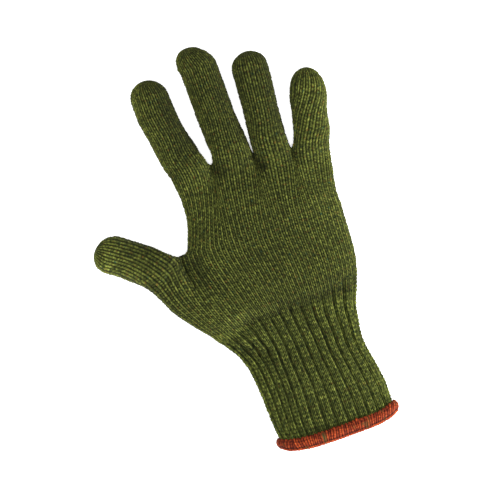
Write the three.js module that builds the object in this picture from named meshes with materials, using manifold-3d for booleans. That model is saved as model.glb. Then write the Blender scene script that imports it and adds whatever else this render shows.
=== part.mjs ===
import * as THREE from "three";
import Module from "manifold-3d";

// A knitted wool work glove lying palm down, the back of the right hand up. It is hollow all the
// way: a ribbed cuff with an overlocked edge leads into the palm, and the palm into four fingers
// and the thumb. X runs across the hand, Y from the cuff to the fingertips, and Z is up.

const wasm = await Module();
wasm.setup();

// Driving dimensions, in millimetres and degrees
const FABRIC = 2.0;
const CUFF_WALL = 2.6;
const GAP = 0.3;
const RIB_COUNT = 26;
const RIB_HEIGHT = 1.1;
const RIB_FADE = 14;
const CUFF_TOP = 84;
const HEM_START = 4.3;
const HEM_RISE = 2.4;
const HEM_RISE_REACH = 24;
const HEM_RISE_POWER = 4;
const WEB_LENGTH = 5.5;
const LITTLE_WEB_DROP = 6.7;
const LITTLE_WEB_START = 10;
const LITTLE_WEB_END = 29;
const PRESSED_DEPTH = 1.2;
const WIDEST_HEIGHT = 0.42;

// How full a section is: 1 is an ellipse, and less squares its shoulders
const SIDE_FULLNESS = 0.9;
const TOP_FULLNESS = 0.82;
const UNDERSIDE_FULLNESS = 0.62;

// Facets
const OUTLINE_STEPS = 96;
const DIGIT_SIDES = 22;
const DIGIT_HOLLOW_SIDES = 14;
const RINGS_PER_ROW = 1.5;
const PALM_SIDES = 50;
const PALM_HOLLOW_SIDES = 26;
const SIDES_PER_RIB = 4;
const CUFF_HOLLOW_SIDES = 40;
const EDGE_SIDES = 56;
const TIP_RINGS = 4;

// Each digit starts inside the palm at its first row, parts from it at row CUT_ROW, and rounds off
// past its last row. A row is the middle of a section, its half width, the way it points and its top.
const CUT_ROW = 2;

// In rows: where a root's hollow starts, and how far hollows run past the cut on either side of it
const ROOT_HOLLOW_START = 0.15;
const HOLLOW_OVERLAP = 0.4;
const DIGITS = {
  index_finger: {
    rows: [
      { x: -30.0, y: 155.6, halfWidth: 11.6, aim: 96, top: 15.5 },
      { x: -33.2, y: 173.9, halfWidth: 12.8, aim: 98, top: 19.5 },
      { x: -36.0, y: 187.9, halfWidth: 12.6, aim: 101, top: 18.5 },
      { x: -40.0, y: 206.2, halfWidth: 11.5, aim: 100, top: 17.5 },
      { x: -42.6, y: 220.8, halfWidth: 11.9, aim: 94, top: 17.5 },
      { x: -43.3, y: 233.0, halfWidth: 11.7, aim: 91, top: 16.5 },
    ],
    tip: { x: -43.6, y: 245.4 },
  },
  middle_finger: {
    rows: [
      { x: -8.2, y: 155.6, halfWidth: 12.5, aim: 90, top: 16.0 },
      { x: -7.6, y: 173.9, halfWidth: 12.8, aim: 90, top: 20.0 },
      { x: -7.3, y: 187.9, halfWidth: 12.0, aim: 92, top: 19.0 },
      { x: -8.5, y: 206.2, halfWidth: 11.4, aim: 93, top: 18.0 },
      { x: -9.2, y: 224.5, halfWidth: 11.4, aim: 92, top: 18.0 },
      { x: -10.2, y: 242.6, halfWidth: 11.7, aim: 94, top: 17.0 },
    ],
    tip: { x: -11.8, y: 255.6 },
  },
  ring_finger: {
    rows: [
      { x: 16.2, y: 155.6, halfWidth: 12.2, aim: 88, top: 15.5 },
      { x: 16.8, y: 173.9, halfWidth: 12.5, aim: 88, top: 19.5 },
      { x: 17.4, y: 187.9, halfWidth: 11.1, aim: 87, top: 18.5 },
      { x: 18.6, y: 206.2, halfWidth: 10.5, aim: 86, top: 17.5 },
      { x: 19.6, y: 220.8, halfWidth: 11.2, aim: 87, top: 17.5 },
      { x: 20.1, y: 231.6, halfWidth: 11.4, aim: 88, top: 16.5 },
    ],
    tip: { x: 20.4, y: 242.6 },
  },
  little_finger: {
    rows: [
      { x: 34.6, y: 149.5, halfWidth: 9.8, aim: 84, top: 14.0 },
      { x: 39.3, y: 165.9, halfWidth: 11.6, aim: 82, top: 18.0 },
      { x: 42.5, y: 180.0, halfWidth: 11.7, aim: 77, top: 17.0 },
      { x: 46.5, y: 195.2, halfWidth: 11.0, aim: 78, top: 16.0 },
      { x: 48.6, y: 204.6, halfWidth: 11.5, aim: 80, top: 16.0 },
      { x: 49.6, y: 209.2, halfWidth: 11.2, aim: 80, top: 15.5 },
    ],
    tip: { x: 52.3, y: 222.6 },
  },
  thumb: {
    rows: [
      { x: -37.9, y: 95.4, halfWidth: 21.6, aim: 124, top: 18.5 },
      { x: -57.0, y: 116.7, halfWidth: 19.7, aim: 134, top: 20.5 },
      { x: -71.0, y: 130.4, halfWidth: 13.5, aim: 140, top: 19.0 },
      { x: -82.6, y: 140.4, halfWidth: 12.4, aim: 140, top: 17.5 },
      { x: -90.3, y: 146.9, halfWidth: 12.2, aim: 140, top: 17.0 },
      { x: -95.0, y: 150.6, halfWidth: 12.1, aim: 140, top: 16.5 },
    ],
    tip: { x: -104.4, y: 157.0 },
  },
};

// The palm without its thumb, from the cuff to the webs between the fingers
const PALM_ROWS = [
  { y: 84.0, left: -54.6, right: 40.2, top: 20.5 },
  { y: 92.0, left: -56.4, right: 42.6, top: 23.5 },
  { y: 104.0, left: -56.6, right: 45.1, top: 24.5 },
  { y: 120.0, left: -54.6, right: 46.2, top: 24.5 },
  { y: 136.0, left: -51.6, right: 47.1, top: 24.0 },
  { y: 147.6, left: -47.2, right: 46.8, top: 23.0 },
  { y: 160.0, left: -44.9, right: 49.6, top: 21.5 },
  { y: 170.0, left: -45.2, right: 51.6, top: 20.0 },
  { y: 176.9, left: -45.6, right: 52.8, top: 18.5 },
];

// The cuff from its hem to the palm; the hem stands off the table by the edge band under it
const CUFF_ROWS = [
  { y: 4.3, left: -34.9, right: 38.6, top: 22.5, bottom: 2.1 },
  { y: 9.2, left: -35.0, right: 38.6, top: 22.4, bottom: 2.0 },
  { y: 17.0, left: -36.2, right: 38.4, top: 21.4, bottom: -0.4 },
  { y: 26.0, left: -36.7, right: 38.0, top: 20.5, bottom: -1.2 },
  { y: 37.8, left: -37.1, right: 36.1, top: 19.8, bottom: -1.2 },
  { y: 52.5, left: -38.4, right: 33.9, top: 19.4, bottom: -1.2 },
  { y: 63.4, left: -41.5, right: 34.9, top: 19.5, bottom: -1.2 },
  { y: 74.4, left: -48.1, right: 36.9, top: 20.0, bottom: -1.2 },
  { y: 83.7, left: -54.5, right: 40.3, top: 20.5, bottom: -1.2 },
];

// Folds and dimples pressed into the upper side: a line, how wide it fades, and how deep it is
const FOLDS = [
  { fromX: -57, fromY: 134, toX: -36, toY: 106, width: 7, depth: 2.2 },
  { fromX: -20.8, fromY: 184, toX: -20.2, toY: 172, width: 4, depth: 2.4 },
  { fromX: 5.2, fromY: 184, toX: 4.6, toY: 172, width: 4, depth: 2.4 },
  { fromX: 29.4, fromY: 177, toX: 28, toY: 165, width: 4, depth: 2.2 },
  { fromX: -14, fromY: 88, toX: 34, toY: 89, width: 5, depth: 1.6 },
  { fromX: -44, fromY: 79, toX: -26, toY: 86, width: 5, depth: 1.2 },
];

// The overlock around the hem, as steps out from the cuff's face and along it. The last points
// line the slot that holds the hem.
const EDGE_PROFILE = [
  { out: 1.0, along: 8.7 },
  { out: 1.8, along: 7.6 },
  { out: 2.2, along: 5.2 },
  { out: 2.0, along: 2.6 },
  { out: 1.0, along: 0.7 },
  { out: -0.8, along: 0.0 },
  { out: -2.7, along: 0.6 },
  { out: -4.3, along: 3.0 },
  { out: -4.5, along: 6.0 },
  { out: -3.8, along: 7.8 },
  { out: -3.4, along: 3.8 },
  { out: 0.5, along: 3.8 },
  { out: 0.5, along: 8.6 },
];

const WOOL = { color: 0x6f7438, roughness: 0.95, metalness: 0 };
const RIBBED_WOOL = { color: 0x62672f, roughness: 0.96, metalness: 0 };
const EDGE_THREAD = { color: 0xa4552a, roughness: 0.8, metalness: 0 };

// Between rows every column runs through a Catmull-Rom curve
function blend(before, from, to, after, part) {
  const slopeFrom = (to - before) / 2;
  const slopeTo = (after - from) / 2;
  const square = part * part;
  const cube = square * part;
  return (2 * cube - 3 * square + 1) * from + (cube - 2 * square + part) * slopeFrom
    + (3 * square - 2 * cube) * to + (cube - square) * slopeTo;
}

function rowAt(rows, station) {
  const last = rows.length - 1;
  const index = THREE.MathUtils.clamp(Math.floor(station), 0, last - 1);
  const near = [-1, 0, 1, 2].map((step) => rows[THREE.MathUtils.clamp(index + step, 0, last)]);
  const row = {};
  for (const column of Object.keys(rows[0])) {
    row[column] = blend(...near.map((other) => other[column]), station - index);
  }
  return row;
}

// A section in full: its middle, the direction across it, its half width and its heights
function section({ x, y, halfWidth, aim = 90, top, bottom = -PRESSED_DEPTH }, closing = 1) {
  const angle = THREE.MathUtils.degToRad(aim);
  return {
    middle: new THREE.Vector3(x, y, 0),
    across: new THREE.Vector3(Math.sin(angle), -Math.cos(angle), 0),
    halfWidth,
    widest: WIDEST_HEIGHT * top + (1 - WIDEST_HEIGHT) * Math.max(0, bottom),
    top,
    bottom,
    closingAcross: closing,
    closingUp: closing,
  };
}

function sectionBetween({ y, left, right, top, bottom }) {
  return section({ x: (left + right) / 2, y, halfWidth: (right - left) / 2, top, bottom });
}

const shaped = (value, fullness) => Math.sign(value) * Math.abs(value) ** fullness;

// A point of a section's outline. What would lie under the resting plane is pressed flat on it.
function outlinePoint(shape, inset, angle) {
  const sideways = (shape.halfWidth - inset) * shaped(Math.cos(angle), SIDE_FULLNESS);
  const rise = Math.sin(angle);
  const upward = rise > 0
    ? (shape.top - inset - shape.widest) * shaped(rise, TOP_FULLNESS)
    : (shape.widest - shape.bottom - inset) * shaped(rise, UNDERSIDE_FULLNESS);
  const point = shape.middle.clone().addScaledVector(shape.across, sideways * shape.closingAcross);
  point.z = shape.widest + upward * shape.closingUp;
  return point;
}

function foldDepth(point) {
  let depth = 0;
  for (const fold of FOLDS) {
    const line = new THREE.Line3(
      new THREE.Vector3(fold.fromX, fold.fromY, 0),
      new THREE.Vector3(fold.toX, fold.toY, 0),
    );
    const flat = new THREE.Vector3(point.x, point.y, 0);
    const distance = line.closestPointToPoint(flat, true, new THREE.Vector3()).distanceTo(flat);
    depth += fold.depth * Math.exp(-((distance / fold.width) ** 2));
  }
  return depth;
}

// Equal steps around a section, from the middle of its underside
function ring(shape, inset, sides) {
  const outline = [];
  for (let step = 0; step < OUTLINE_STEPS; step += 1) {
    outline.push(outlinePoint(shape, inset, (step / OUTLINE_STEPS) * 2 * Math.PI - Math.PI / 2));
  }
  const points = new THREE.CatmullRomCurve3(outline, true, "chordal").getSpacedPoints(sides);
  points.pop();
  for (const point of points) {
    const upperShare = THREE.MathUtils.smoothstep(point.z, shape.widest, shape.top);
    point.z -= foldDepth(point) * upperShare * shape.closingUp;
    point.z = Math.max(inset, point.z);
  }
  return points;
}

// Rings joined into one closed solid, with a fan over each end
function loft(rings, start, end) {
  const sides = rings[0].length;
  const points = [...rings.flat(), start, end];
  const triangles = [];
  for (let level = 0; level < rings.length - 1; level += 1) {
    for (let side = 0; side < sides; side += 1) {
      const here = level * sides + side;
      const beside = level * sides + ((side + 1) % sides);
      triangles.push(here, beside, beside + sides, here, beside + sides, here + sides);
    }
  }
  const lastRing = (rings.length - 1) * sides;
  for (let side = 0; side < sides; side += 1) {
    const next = (side + 1) % sides;
    triangles.push(rings.length * sides, next, side);
    triangles.push(rings.length * sides + 1, lastRing + side, lastRing + next);
  }
  return solidFrom(points, triangles);
}

function solidFrom(points, triangles) {
  const volume = signedVolume(points, triangles);
  const facing = volume > 0 ? triangles : triangles.toReversed();
  return new wasm.Manifold(new wasm.Mesh({
    numProp: 3,
    vertProperties: new Float32Array(points.flatMap((point) => point.toArray())),
    triVerts: new Uint32Array(facing),
  }));
}

function signedVolume(points, triangles) {
  let volume = 0;
  for (let start = 0; start < triangles.length; start += 3) {
    const [a, b, c] = [0, 1, 2].map((corner) => points[triangles[start + corner]]);
    volume += a.dot(b.clone().cross(c)) / 6;
  }
  return volume;
}

function middleOf(points) {
  const total = points.reduce((sum, point) => sum.add(point), new THREE.Vector3());
  return total.divideScalar(points.length);
}

// The part of a digit from one station to another, past the last row with its rounded tip
function digitPart(digit, inset, sides, from, to) {
  const { rows, tip } = digit;
  const lastRow = rows.length - 1;
  const ringsPerRow = inset > 0 ? 1 : RINGS_PER_ROW;
  const steps = Math.ceil((Math.min(to, lastRow) - from) * ringsPerRow);
  const rings = [];
  for (let step = 0; step <= steps; step += 1) {
    const station = from + ((Math.min(to, lastRow) - from) * step) / steps;
    rings.push(ring(section(rowAt(rows, station)), inset, sides));
  }
  if (to <= lastRow) {
    return loft(rings, middleOf(rings[0]), middleOf(rings.at(-1)));
  }
  const shoulder = section(rows[lastRow]);
  const reach = new THREE.Vector3(tip.x, tip.y, 0).sub(shoulder.middle);
  reach.setLength(reach.length() - inset);
  for (let step = 1; step < TIP_RINGS; step += 1) {
    const turn = (step / TIP_RINGS) * (Math.PI / 2);
    const shape = section(rows[lastRow], Math.cos(turn));
    shape.middle.addScaledVector(reach, Math.sin(turn));
    rings.push(ring(shape, inset, sides));
  }
  const end = shoulder.middle.clone().add(reach);
  end.z = shoulder.widest;
  return loft(rings, middleOf(rings[0]), end);
}

// The webs sit lower beside the little finger than between the others
function lowerWeb(point) {
  const share = THREE.MathUtils.smoothstep(point.x, LITTLE_WEB_START, LITTLE_WEB_END);
  const nearWebs = THREE.MathUtils.smoothstep(point.y, PALM_ROWS.at(-3).y, PALM_ROWS.at(-1).y);
  point.y -= LITTLE_WEB_DROP * share * nearWebs;
  return point;
}

function palmBody(inset, sides, startY) {
  const lastRow = PALM_ROWS.length - 1;
  const steps = lastRow * (inset > 0 ? 1 : RINGS_PER_ROW);
  const rings = [];
  for (let step = 0; step <= steps; step += 1) {
    const row = rowAt(PALM_ROWS, (step / steps) * lastRow);
    rings.push(ring(sectionBetween(row), inset, sides));
  }
  for (const point of rings[0]) {
    point.y = startY;
  }
  for (let step = 1; step < TIP_RINGS; step += 1) {
    const turn = (step / TIP_RINGS) * (Math.PI / 2);
    const shape = sectionBetween(PALM_ROWS[lastRow]);
    shape.closingUp = Math.cos(turn);
    shape.middle.y += (WEB_LENGTH - inset) * Math.sin(turn);
    rings.push(ring(shape, inset, sides));
  }
  for (const points of rings) {
    points.forEach(lowerWeb);
  }
  return loft(rings, middleOf(rings[0]), middleOf(rings.at(-1)));
}

// The hem bows: its sides lie further from the open end than its middle
function bowHem(point) {
  const middle = (CUFF_ROWS[0].left + CUFF_ROWS[0].right) / 2;
  const halfWidth = (CUFF_ROWS[0].right - CUFF_ROWS[0].left) / 2;
  const reach = Math.max(0, 1 - (point.y - HEM_START) / HEM_RISE_REACH);
  point.y += HEM_RISE * Math.min(1, Math.abs((point.x - middle) / halfWidth)) ** HEM_RISE_POWER * reach;
  return point;
}

// The cuff's outer face, raised in ribs that fade out where the palm begins
function ribbedRing(row, sides) {
  const shape = sectionBetween(row);
  const crests = ring(shape, 0, sides);
  const grooves = ring(shape, RIB_HEIGHT, sides);
  const fade = Math.min(1, (CUFF_TOP - row.y) / RIB_FADE);
  return crests.map((crest, side) => {
    const grooveShare = (1 - Math.cos((2 * Math.PI * RIB_COUNT * side) / sides)) / 2;
    return crest.lerp(grooves[side], grooveShare * fade);
  });
}

function cuff() {
  const lastRow = CUFF_ROWS.length - 1;
  const outer = [];
  const inner = [];
  for (let station = 0; station <= lastRow; station += 1) {
    const row = rowAt(CUFF_ROWS, station);
    outer.push(ribbedRing(row, RIB_COUNT * SIDES_PER_RIB).map(bowHem));
  }
  for (let station = 0; station <= lastRow; station += 2) {
    const row = rowAt(CUFF_ROWS, station);
    inner.push(ring(sectionBetween(row), CUFF_WALL, CUFF_HOLLOW_SIDES).map(bowHem));
  }
  for (const [points, y] of [[inner[0], HEM_START - GAP], [inner.at(-1), CUFF_TOP + GAP]]) {
    for (const point of points) {
      point.y += y - HEM_START;
    }
  }
  const shell = loft(outer, middleOf(outer[0]), middleOf(outer.at(-1)));
  return shell.subtract(loft(inner, middleOf(inner[0]), middleOf(inner.at(-1))));
}

// The overlock band: its profile carried around the hem
function cuffEdge() {
  const hem = ring(sectionBetween(CUFF_ROWS[0]), 0, EDGE_SIDES);
  const rings = hem.map((point, side) => {
    const before = hem[(side + EDGE_SIDES - 1) % EDGE_SIDES];
    const after = hem[(side + 1) % EDGE_SIDES];
    const along = after.clone().sub(before).normalize();
    const outward = new THREE.Vector3(along.z, 0, -along.x);
    return EDGE_PROFILE.map((corner) => {
      const place = point.clone().addScaledVector(outward, corner.out);
      place.y = HEM_START;
      bowHem(place);
      place.y += corner.along - HEM_START;
      place.z = Math.max(0, place.z);
      return place;
    });
  });
  const corners = EDGE_PROFILE.length;
  const triangles = [];
  for (let side = 0; side < EDGE_SIDES; side += 1) {
    for (let corner = 0; corner < corners; corner += 1) {
      const here = side * corners + corner;
      const above = side * corners + ((corner + 1) % corners);
      const beside = ((side + 1) % EDGE_SIDES) * corners + corner;
      const opposite = ((side + 1) % EDGE_SIDES) * corners + ((corner + 1) % corners);
      triangles.push(here, above, opposite, here, opposite, beside);
    }
  }
  return solidFrom(rings.flat(), triangles);
}

function digitShell(digit) {
  const lastStation = digit.rows.length;
  const outer = digitPart(digit, 0, DIGIT_SIDES, CUT_ROW, lastStation);
  const hollowStart = CUT_ROW - HOLLOW_OVERLAP;
  return outer.subtract(digitPart(digit, FABRIC, DIGIT_HOLLOW_SIDES, hollowStart, lastStation));
}

// The palm with the roots of the digits, which end a gap short of the digits themselves
function palm() {
  let outer = palmBody(0, PALM_SIDES, CUFF_TOP);
  let hollow = palmBody(FABRIC, PALM_HOLLOW_SIDES, CUFF_TOP - GAP);
  for (const digit of Object.values(DIGITS)) {
    const [below, cut] = [digit.rows[CUT_ROW - 1], digit.rows[CUT_ROW]];
    const rowLength = Math.hypot(cut.x - below.x, cut.y - below.y);
    const rootEnd = CUT_ROW - GAP / rowLength;
    outer = outer.add(digitPart(digit, 0, DIGIT_SIDES, 0, rootEnd));
    const rootHollow = [ROOT_HOLLOW_START, CUT_ROW + HOLLOW_OVERLAP];
    hollow = hollow.add(digitPart(digit, FABRIC, DIGIT_HOLLOW_SIDES, ...rootHollow));
  }
  return outer.subtract(hollow);
}

function meshOf(name, solid, finish) {
  const { vertProperties, triVerts } = solid.getMesh();
  const geometry = new THREE.BufferGeometry();
  geometry.setAttribute("position", new THREE.BufferAttribute(vertProperties, 3));
  geometry.setIndex(new THREE.BufferAttribute(triVerts, 1));
  geometry.computeVertexNormals();
  const mesh = new THREE.Mesh(geometry, new THREE.MeshStandardMaterial(finish));
  mesh.name = name;
  return mesh;
}

const glove = new THREE.Group();
for (const [name, digit] of Object.entries(DIGITS)) {
  glove.add(meshOf(name, digitShell(digit), WOOL));
}
glove.add(meshOf("palm", palm(), WOOL));
glove.add(meshOf("cuff", cuff(), RIBBED_WOOL));
glove.add(meshOf("cuff_edge", cuffEdge(), EDGE_THREAD));

// The origin is under the middle of the glove, on the plane that it rests on
const box = new THREE.Box3().setFromObject(glove);
const centre = box.getCenter(new THREE.Vector3());
glove.position.set(-centre.x, -centre.y, -box.min.z);

export default glove;
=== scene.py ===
"""A knitted wool glove lying palm down, seen from straight above.

Each knitted piece is a grid of stitches: it counts wales around the tube and courses along it,
so a stitch keeps its size and the wales run on from the cuff into the palm, thumb and fingers.
Lengths are in millimetres until a mesh is made, from the glove's middle line and its hem.
"""

import bpy
import numpy as np
from mathutils import Matrix, Vector


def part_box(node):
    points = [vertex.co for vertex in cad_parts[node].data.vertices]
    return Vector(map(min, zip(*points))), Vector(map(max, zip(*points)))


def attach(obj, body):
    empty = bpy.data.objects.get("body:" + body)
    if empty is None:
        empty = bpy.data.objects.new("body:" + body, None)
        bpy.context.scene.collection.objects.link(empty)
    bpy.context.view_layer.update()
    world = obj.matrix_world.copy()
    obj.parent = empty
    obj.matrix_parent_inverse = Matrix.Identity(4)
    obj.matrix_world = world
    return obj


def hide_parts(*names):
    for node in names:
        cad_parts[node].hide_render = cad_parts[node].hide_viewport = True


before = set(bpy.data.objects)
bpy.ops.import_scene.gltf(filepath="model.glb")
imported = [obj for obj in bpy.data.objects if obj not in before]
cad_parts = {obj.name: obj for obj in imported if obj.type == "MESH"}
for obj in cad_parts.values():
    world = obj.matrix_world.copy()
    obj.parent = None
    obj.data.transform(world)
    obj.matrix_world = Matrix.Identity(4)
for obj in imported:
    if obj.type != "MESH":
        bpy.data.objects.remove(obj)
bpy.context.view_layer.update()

MM = 0.001

# Sections, as in the solids: how square they are, how high their widest place is, how far the
# underside is pressed in, how thick the cloth is, and how much more in the ribs
SIDE_FULLNESS = 0.9
TOP_FULLNESS = 0.82
UNDERSIDE_FULLNESS = 0.62
WIDEST_HEIGHT = 0.42
PRESSED_DEPTH = 1.2
CLOTH = 2.0
RIB_CLOTH = 1.3
# Steps over half a section: by the angle, and from 0 at one edge to 1 at the other
HALF_TURN = np.linspace(0, np.pi, 181)
HALF_STEPS = (1 - np.cos(HALF_TURN)) / 2
# Points to a curve, to each row of a spline and around a tube, where lengths are measured
CURVE_POINTS = 400
ROW_POINTS = 60
WALE_POINTS = 800
RING_POINTS = 1200
HEM_POINTS = 4000
# Direction of the glove's own length, in degrees
ALONG_GLOVE = 90
# Squares of noise before it repeats, and the square that it starts in
NOISE_SQUARES = 96
NOISE_START = 31

# Mesh steps in a wale on the upper side and underneath, and in a course
STEPS_ACROSS = 8
STEPS_UNDER = 3
STEPS_ALONG = 5

# A stitch has two legs: their middles across the wale, their half widths and their leans
LEFT_LEG = 0.28
LEFT_HALF_WIDTH = 0.24
LEFT_LEAN = 1.2
RIGHT_LEG = 0.77
RIGHT_HALF_WIDTH = 0.20
RIGHT_LEAN = -1.0

# The left leg is one dash in each course: its height between dashes and how much more on them,
# and how these and its width change where stitches are even; the right leg dips between dashes
DASH_POWER = 0.8
LEFT_LOW = 0.16
LEFT_DASH = 0.66
EVEN_LOW = 0.55
EVEN_DASH = -0.4
EVEN_WIDTH = -0.03
RIGHT_DIP = 0.20
# How far both legs show as unbroken lines where the fingers start: 0 little, 1 fully
KNUCKLE_EVENNESS = 0.5

# How the yarn stands over the cloth, how far stitches wander, and how much each differs in
# height; a patch of noise is so many wales by so many courses
YARN_RELIEF = 1.0
YARN_LEVEL = 0.9
SWELL, SWELL_PATCH = 0.35, (7, 9)
WALE_WANDER, WALE_PATCH = 0.07, (3, 5)
COURSE_WANDER, COURSE_PATCH = 0.12, (4, 6)
LEFT_OWN = 0.28
RIGHT_OWN = 0.20
OWN_STITCHES = 128

# A rib is three wales: place and half width across it of its groove, the purl stitches there,
# its chain, its valley and its last leg, and how each of them changes the stitches
RIB_WALES = 3
FIRST_RIB_WALE = 1
GROOVE = (0.5, 0.55)
PURL = (0.5, 0.5)
CHAIN = (1.6, 0.5, 4)
VALLEY = (2.03, 0.2)
LAST_LEG = (2.77, 0.4)
RIB_SHIFT = -0.36
CHAIN_EVENNESS = 0.45
CHAIN_LOSS = 0.2
CHAIN_DIP = 0.65
LAST_LEG_LOSS = 0.12
LAST_LEG_DIP = 0.3
PURL_LOSS = 0.5
VALLEY_LOSS = 0.3
# Depth of the groove, its share away from the wrist, and the share more in the fold there
RIB_DEPTH = 1.9
LEAST_DEPTH = 0.72
WRIST_DEPTH = 0.68
WRIST_FOLD = (65, 20)
# Distance from the hem where the ribs end, by the place across, and where they fade around it
RIB_ENDS = [(-54, 77), (-26, 88), (20, 90), (34, 96)]
RIB_FADE = (-9, 3)

# Wales around each tube, those at its left and right edges, and those that part at the crotches
TRUNK_WALES = 84
TRUNK_ENDS = (-1, 42)
CROTCH_WALE = 6
UNDER_CROTCH_WALE = 76
PALM_WALES = 72
PALM_ENDS = (-1, 36)
PALM_WEB = (70, 72)
FINGER_WALES = (-1, 10, 20, 28, 36)
UNDER_FINGER_WALES = (71, 61, 52, 44, 36)
# A web before this share of a digit's wales is at its right edge
RIGHT_EDGE_SHARE = 0.7

# How much of a tube's rise counts where its wales are spread: less makes the sides' stitches wider
TRUNK_SPREAD = 0.5
THUMB_SPREAD = 0.5
FINGER_SPREAD = 1.0

# Courses in each piece; for a digit the length of a course, and how many each change takes
CUFF_COURSES = 32
GUSSET_COURSES = 25
PALM_COURSES = 23
DIGIT_COURSE = 1.85
TIP_COURSES = 10
JOIN_COURSES = 8
TURN_COURSES = 15
TONE_COURSES = 10
EVEN_COURSES = 12
WEB_COURSES = 2
SNAP_COURSES = 2.5
TIP_GATE = (-4, -0.5)
TIP_TONE_COURSES = (-6, 2)
# At a crotch: width of the web's wales, how many wales beside it set off aside, and the
# height of its rounding in radii
WEB_NARROWING = 0.35
WEB_REACH = 1.9
ROUND_HEIGHT = 1.7

# The hem, and how its ends rise
HEM_START = 4.3
HEM_RISE = 3.5
HEM_RISE_REACH = 24
END_LIFTS = (1.6, 0.6)

# Cuff sections: distance from the hem, edges, and heights
CUFF_ROWS = [
    # y, left, right, top, bottom
    (4.3, -34.9, 38.6, 22.5, 2.1),
    (9.2, -35.0, 38.6, 22.4, 2.0),
    (17.0, -36.2, 38.4, 21.4, -0.4),
    (26.0, -36.7, 38.0, 20.5, -1.2),
    (37.8, -37.1, 36.1, 19.8, -1.2),
    (52.5, -38.4, 33.9, 19.4, -1.2),
    (63.4, -41.5, 34.9, 19.5, -1.2),
    (74.4, -48.1, 36.9, 20.0, -1.2),
    (83.7, -54.5, 40.3, 20.5, -1.2),
]

# Widths of the cuff's upper wales beside each other: at the hem, the wrist and the ribs' upper end
WALE_WIDTHS = [
    # wale, hem, wrist, upper end
    (-1, 0.62, 0.75, 1.12),
    (12, 0.62, 0.75, 1.12),
    (15, 1.05, 1.05, 0.90),
    (26, 1.08, 1.00, 0.95),
    (32, 0.92, 0.95, 1.00),
    (38, 0.85, 0.88, 1.00),
    (42, 0.50, 0.60, 0.90),
]
WRIST_Y = 55
WRIST_BLEND = 5

# Height of the palm along the glove, and the lengths of its two parts
PALM_TOPS = [(83.7, 20.5), (92, 23.5), (104, 24.5), (120, 24.5), (136, 24.0),
             (147.6, 23.0), (160, 21.5), (170, 20.0), (177, 18.5)]
GUSSET_LENGTH = 52.3
PALM_LENGTH = 44
# Only the shape of this section counts, since the palm's height scales it
PALM_HALF_WIDTH = 49
PALM_PRESSED = 22
# How close to the edges the outlines hold, and how much longer the gusset's first courses are
EDGE_HOLD = 7
GUSSET_EASE = 0.15
# Shares of each part's length over which its shape turns into that of the next part
GUSSET_PARTING = (0.35, 1.0)
PALM_OPENING = (0, 0.3)
PALM_PARTING = (0.55, 1.0)
PALM_PARTING_POWER = 1.3
ROUNDING_END = (0.3, 1)
# Distance from the hem over which the stitches get more even towards the fingers
EVEN_PALM = (125, 178)

# Outlines that the first and last wales follow
GUSSET_LEFT = [(-54.5, 83.7), (-59.5, 89.1), (-65.5, 96.5), (-71.2, 104.0), (-75.2, 111.2),
               (-78.9, 118.4)]
GUSSET_RIGHT = [(40.3, 83.7), (43.0, 92.0), (45.3, 104.0), (46.2, 120.0), (47.1, 136.0)]
PALM_LEFT = [(-55.8, 135.2), (-53.4, 135.7), (-51.2, 137.3), (-49.7, 139.6), (-48.1, 143.6),
             (-46.4, 147.6), (-44.8, 155.0), (-44.6, 166.0), (-45.4, 173.0), (-46.7, 180.6)]
PALM_RIGHT = [(47.1, 136.0), (46.9, 147.6), (49.6, 160.0), (51.6, 170.0), (52.4, 173.2)]

# The wale that ends in the thumb's crotch, on the upper side and underneath
CREASE_OVER = [(-42.2, 83.7), (-44.1, 88.0), (-46.9, 94.0), (-49.3, 100.0), (-51.2, 106.0),
               (-52.8, 112.0), (-54.2, 118.0), (-55.4, 124.0), (-56.0, 130.0), (-55.8, 135.4)]
CREASE_UNDER = [CREASE_OVER[k] for k in (0, 2, 4, 6, 9)]
CREASE_ROUNDING = 26

# Directions of the upper wales, in degrees, by the wale: where they leave each ring of cloth
LEAN_AT_THUMB = [(-1, 121), (2, 112), (5, 103), (6, 100)]
LEAN_AT_CROTCH = [(-1, 72), (0, 74), (3, 77), (5, 80), (7, 83), (9, 86), (11, 88), (15, 89),
                  (21, 91), (36, 93)]
LEAN_AT_FINGERS = [(-1, 97), (7, 93), (9, 90), (11, 84), (16, 82), (19, 86), (24, 87), (27, 85),
                   (30, 74), (36, 70)]

# Places where tubes part: x, y, and the heights of the upper and lower cloth there
THUMB_CROTCH = (-55.8, 135.2, 12.5, 5.0)
FINGER_CROTCHES = [(-20.9, 182.9, 11.0, 5.0), (5.7, 180.2, 11.0, 5.0), (29.0, 175.7, 11.0, 5.0)]
# Heights of the cloth there, at the edges and at the top of each tube's root
EDGE_HEIGHT = 8.6
SIDE_HEIGHT = 10.1
THUMB_RISE = 20.5
PALM_RISE = 24.0
FINGER_RISES = (19.2, 19.6, 19.2, 17.8)

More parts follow.
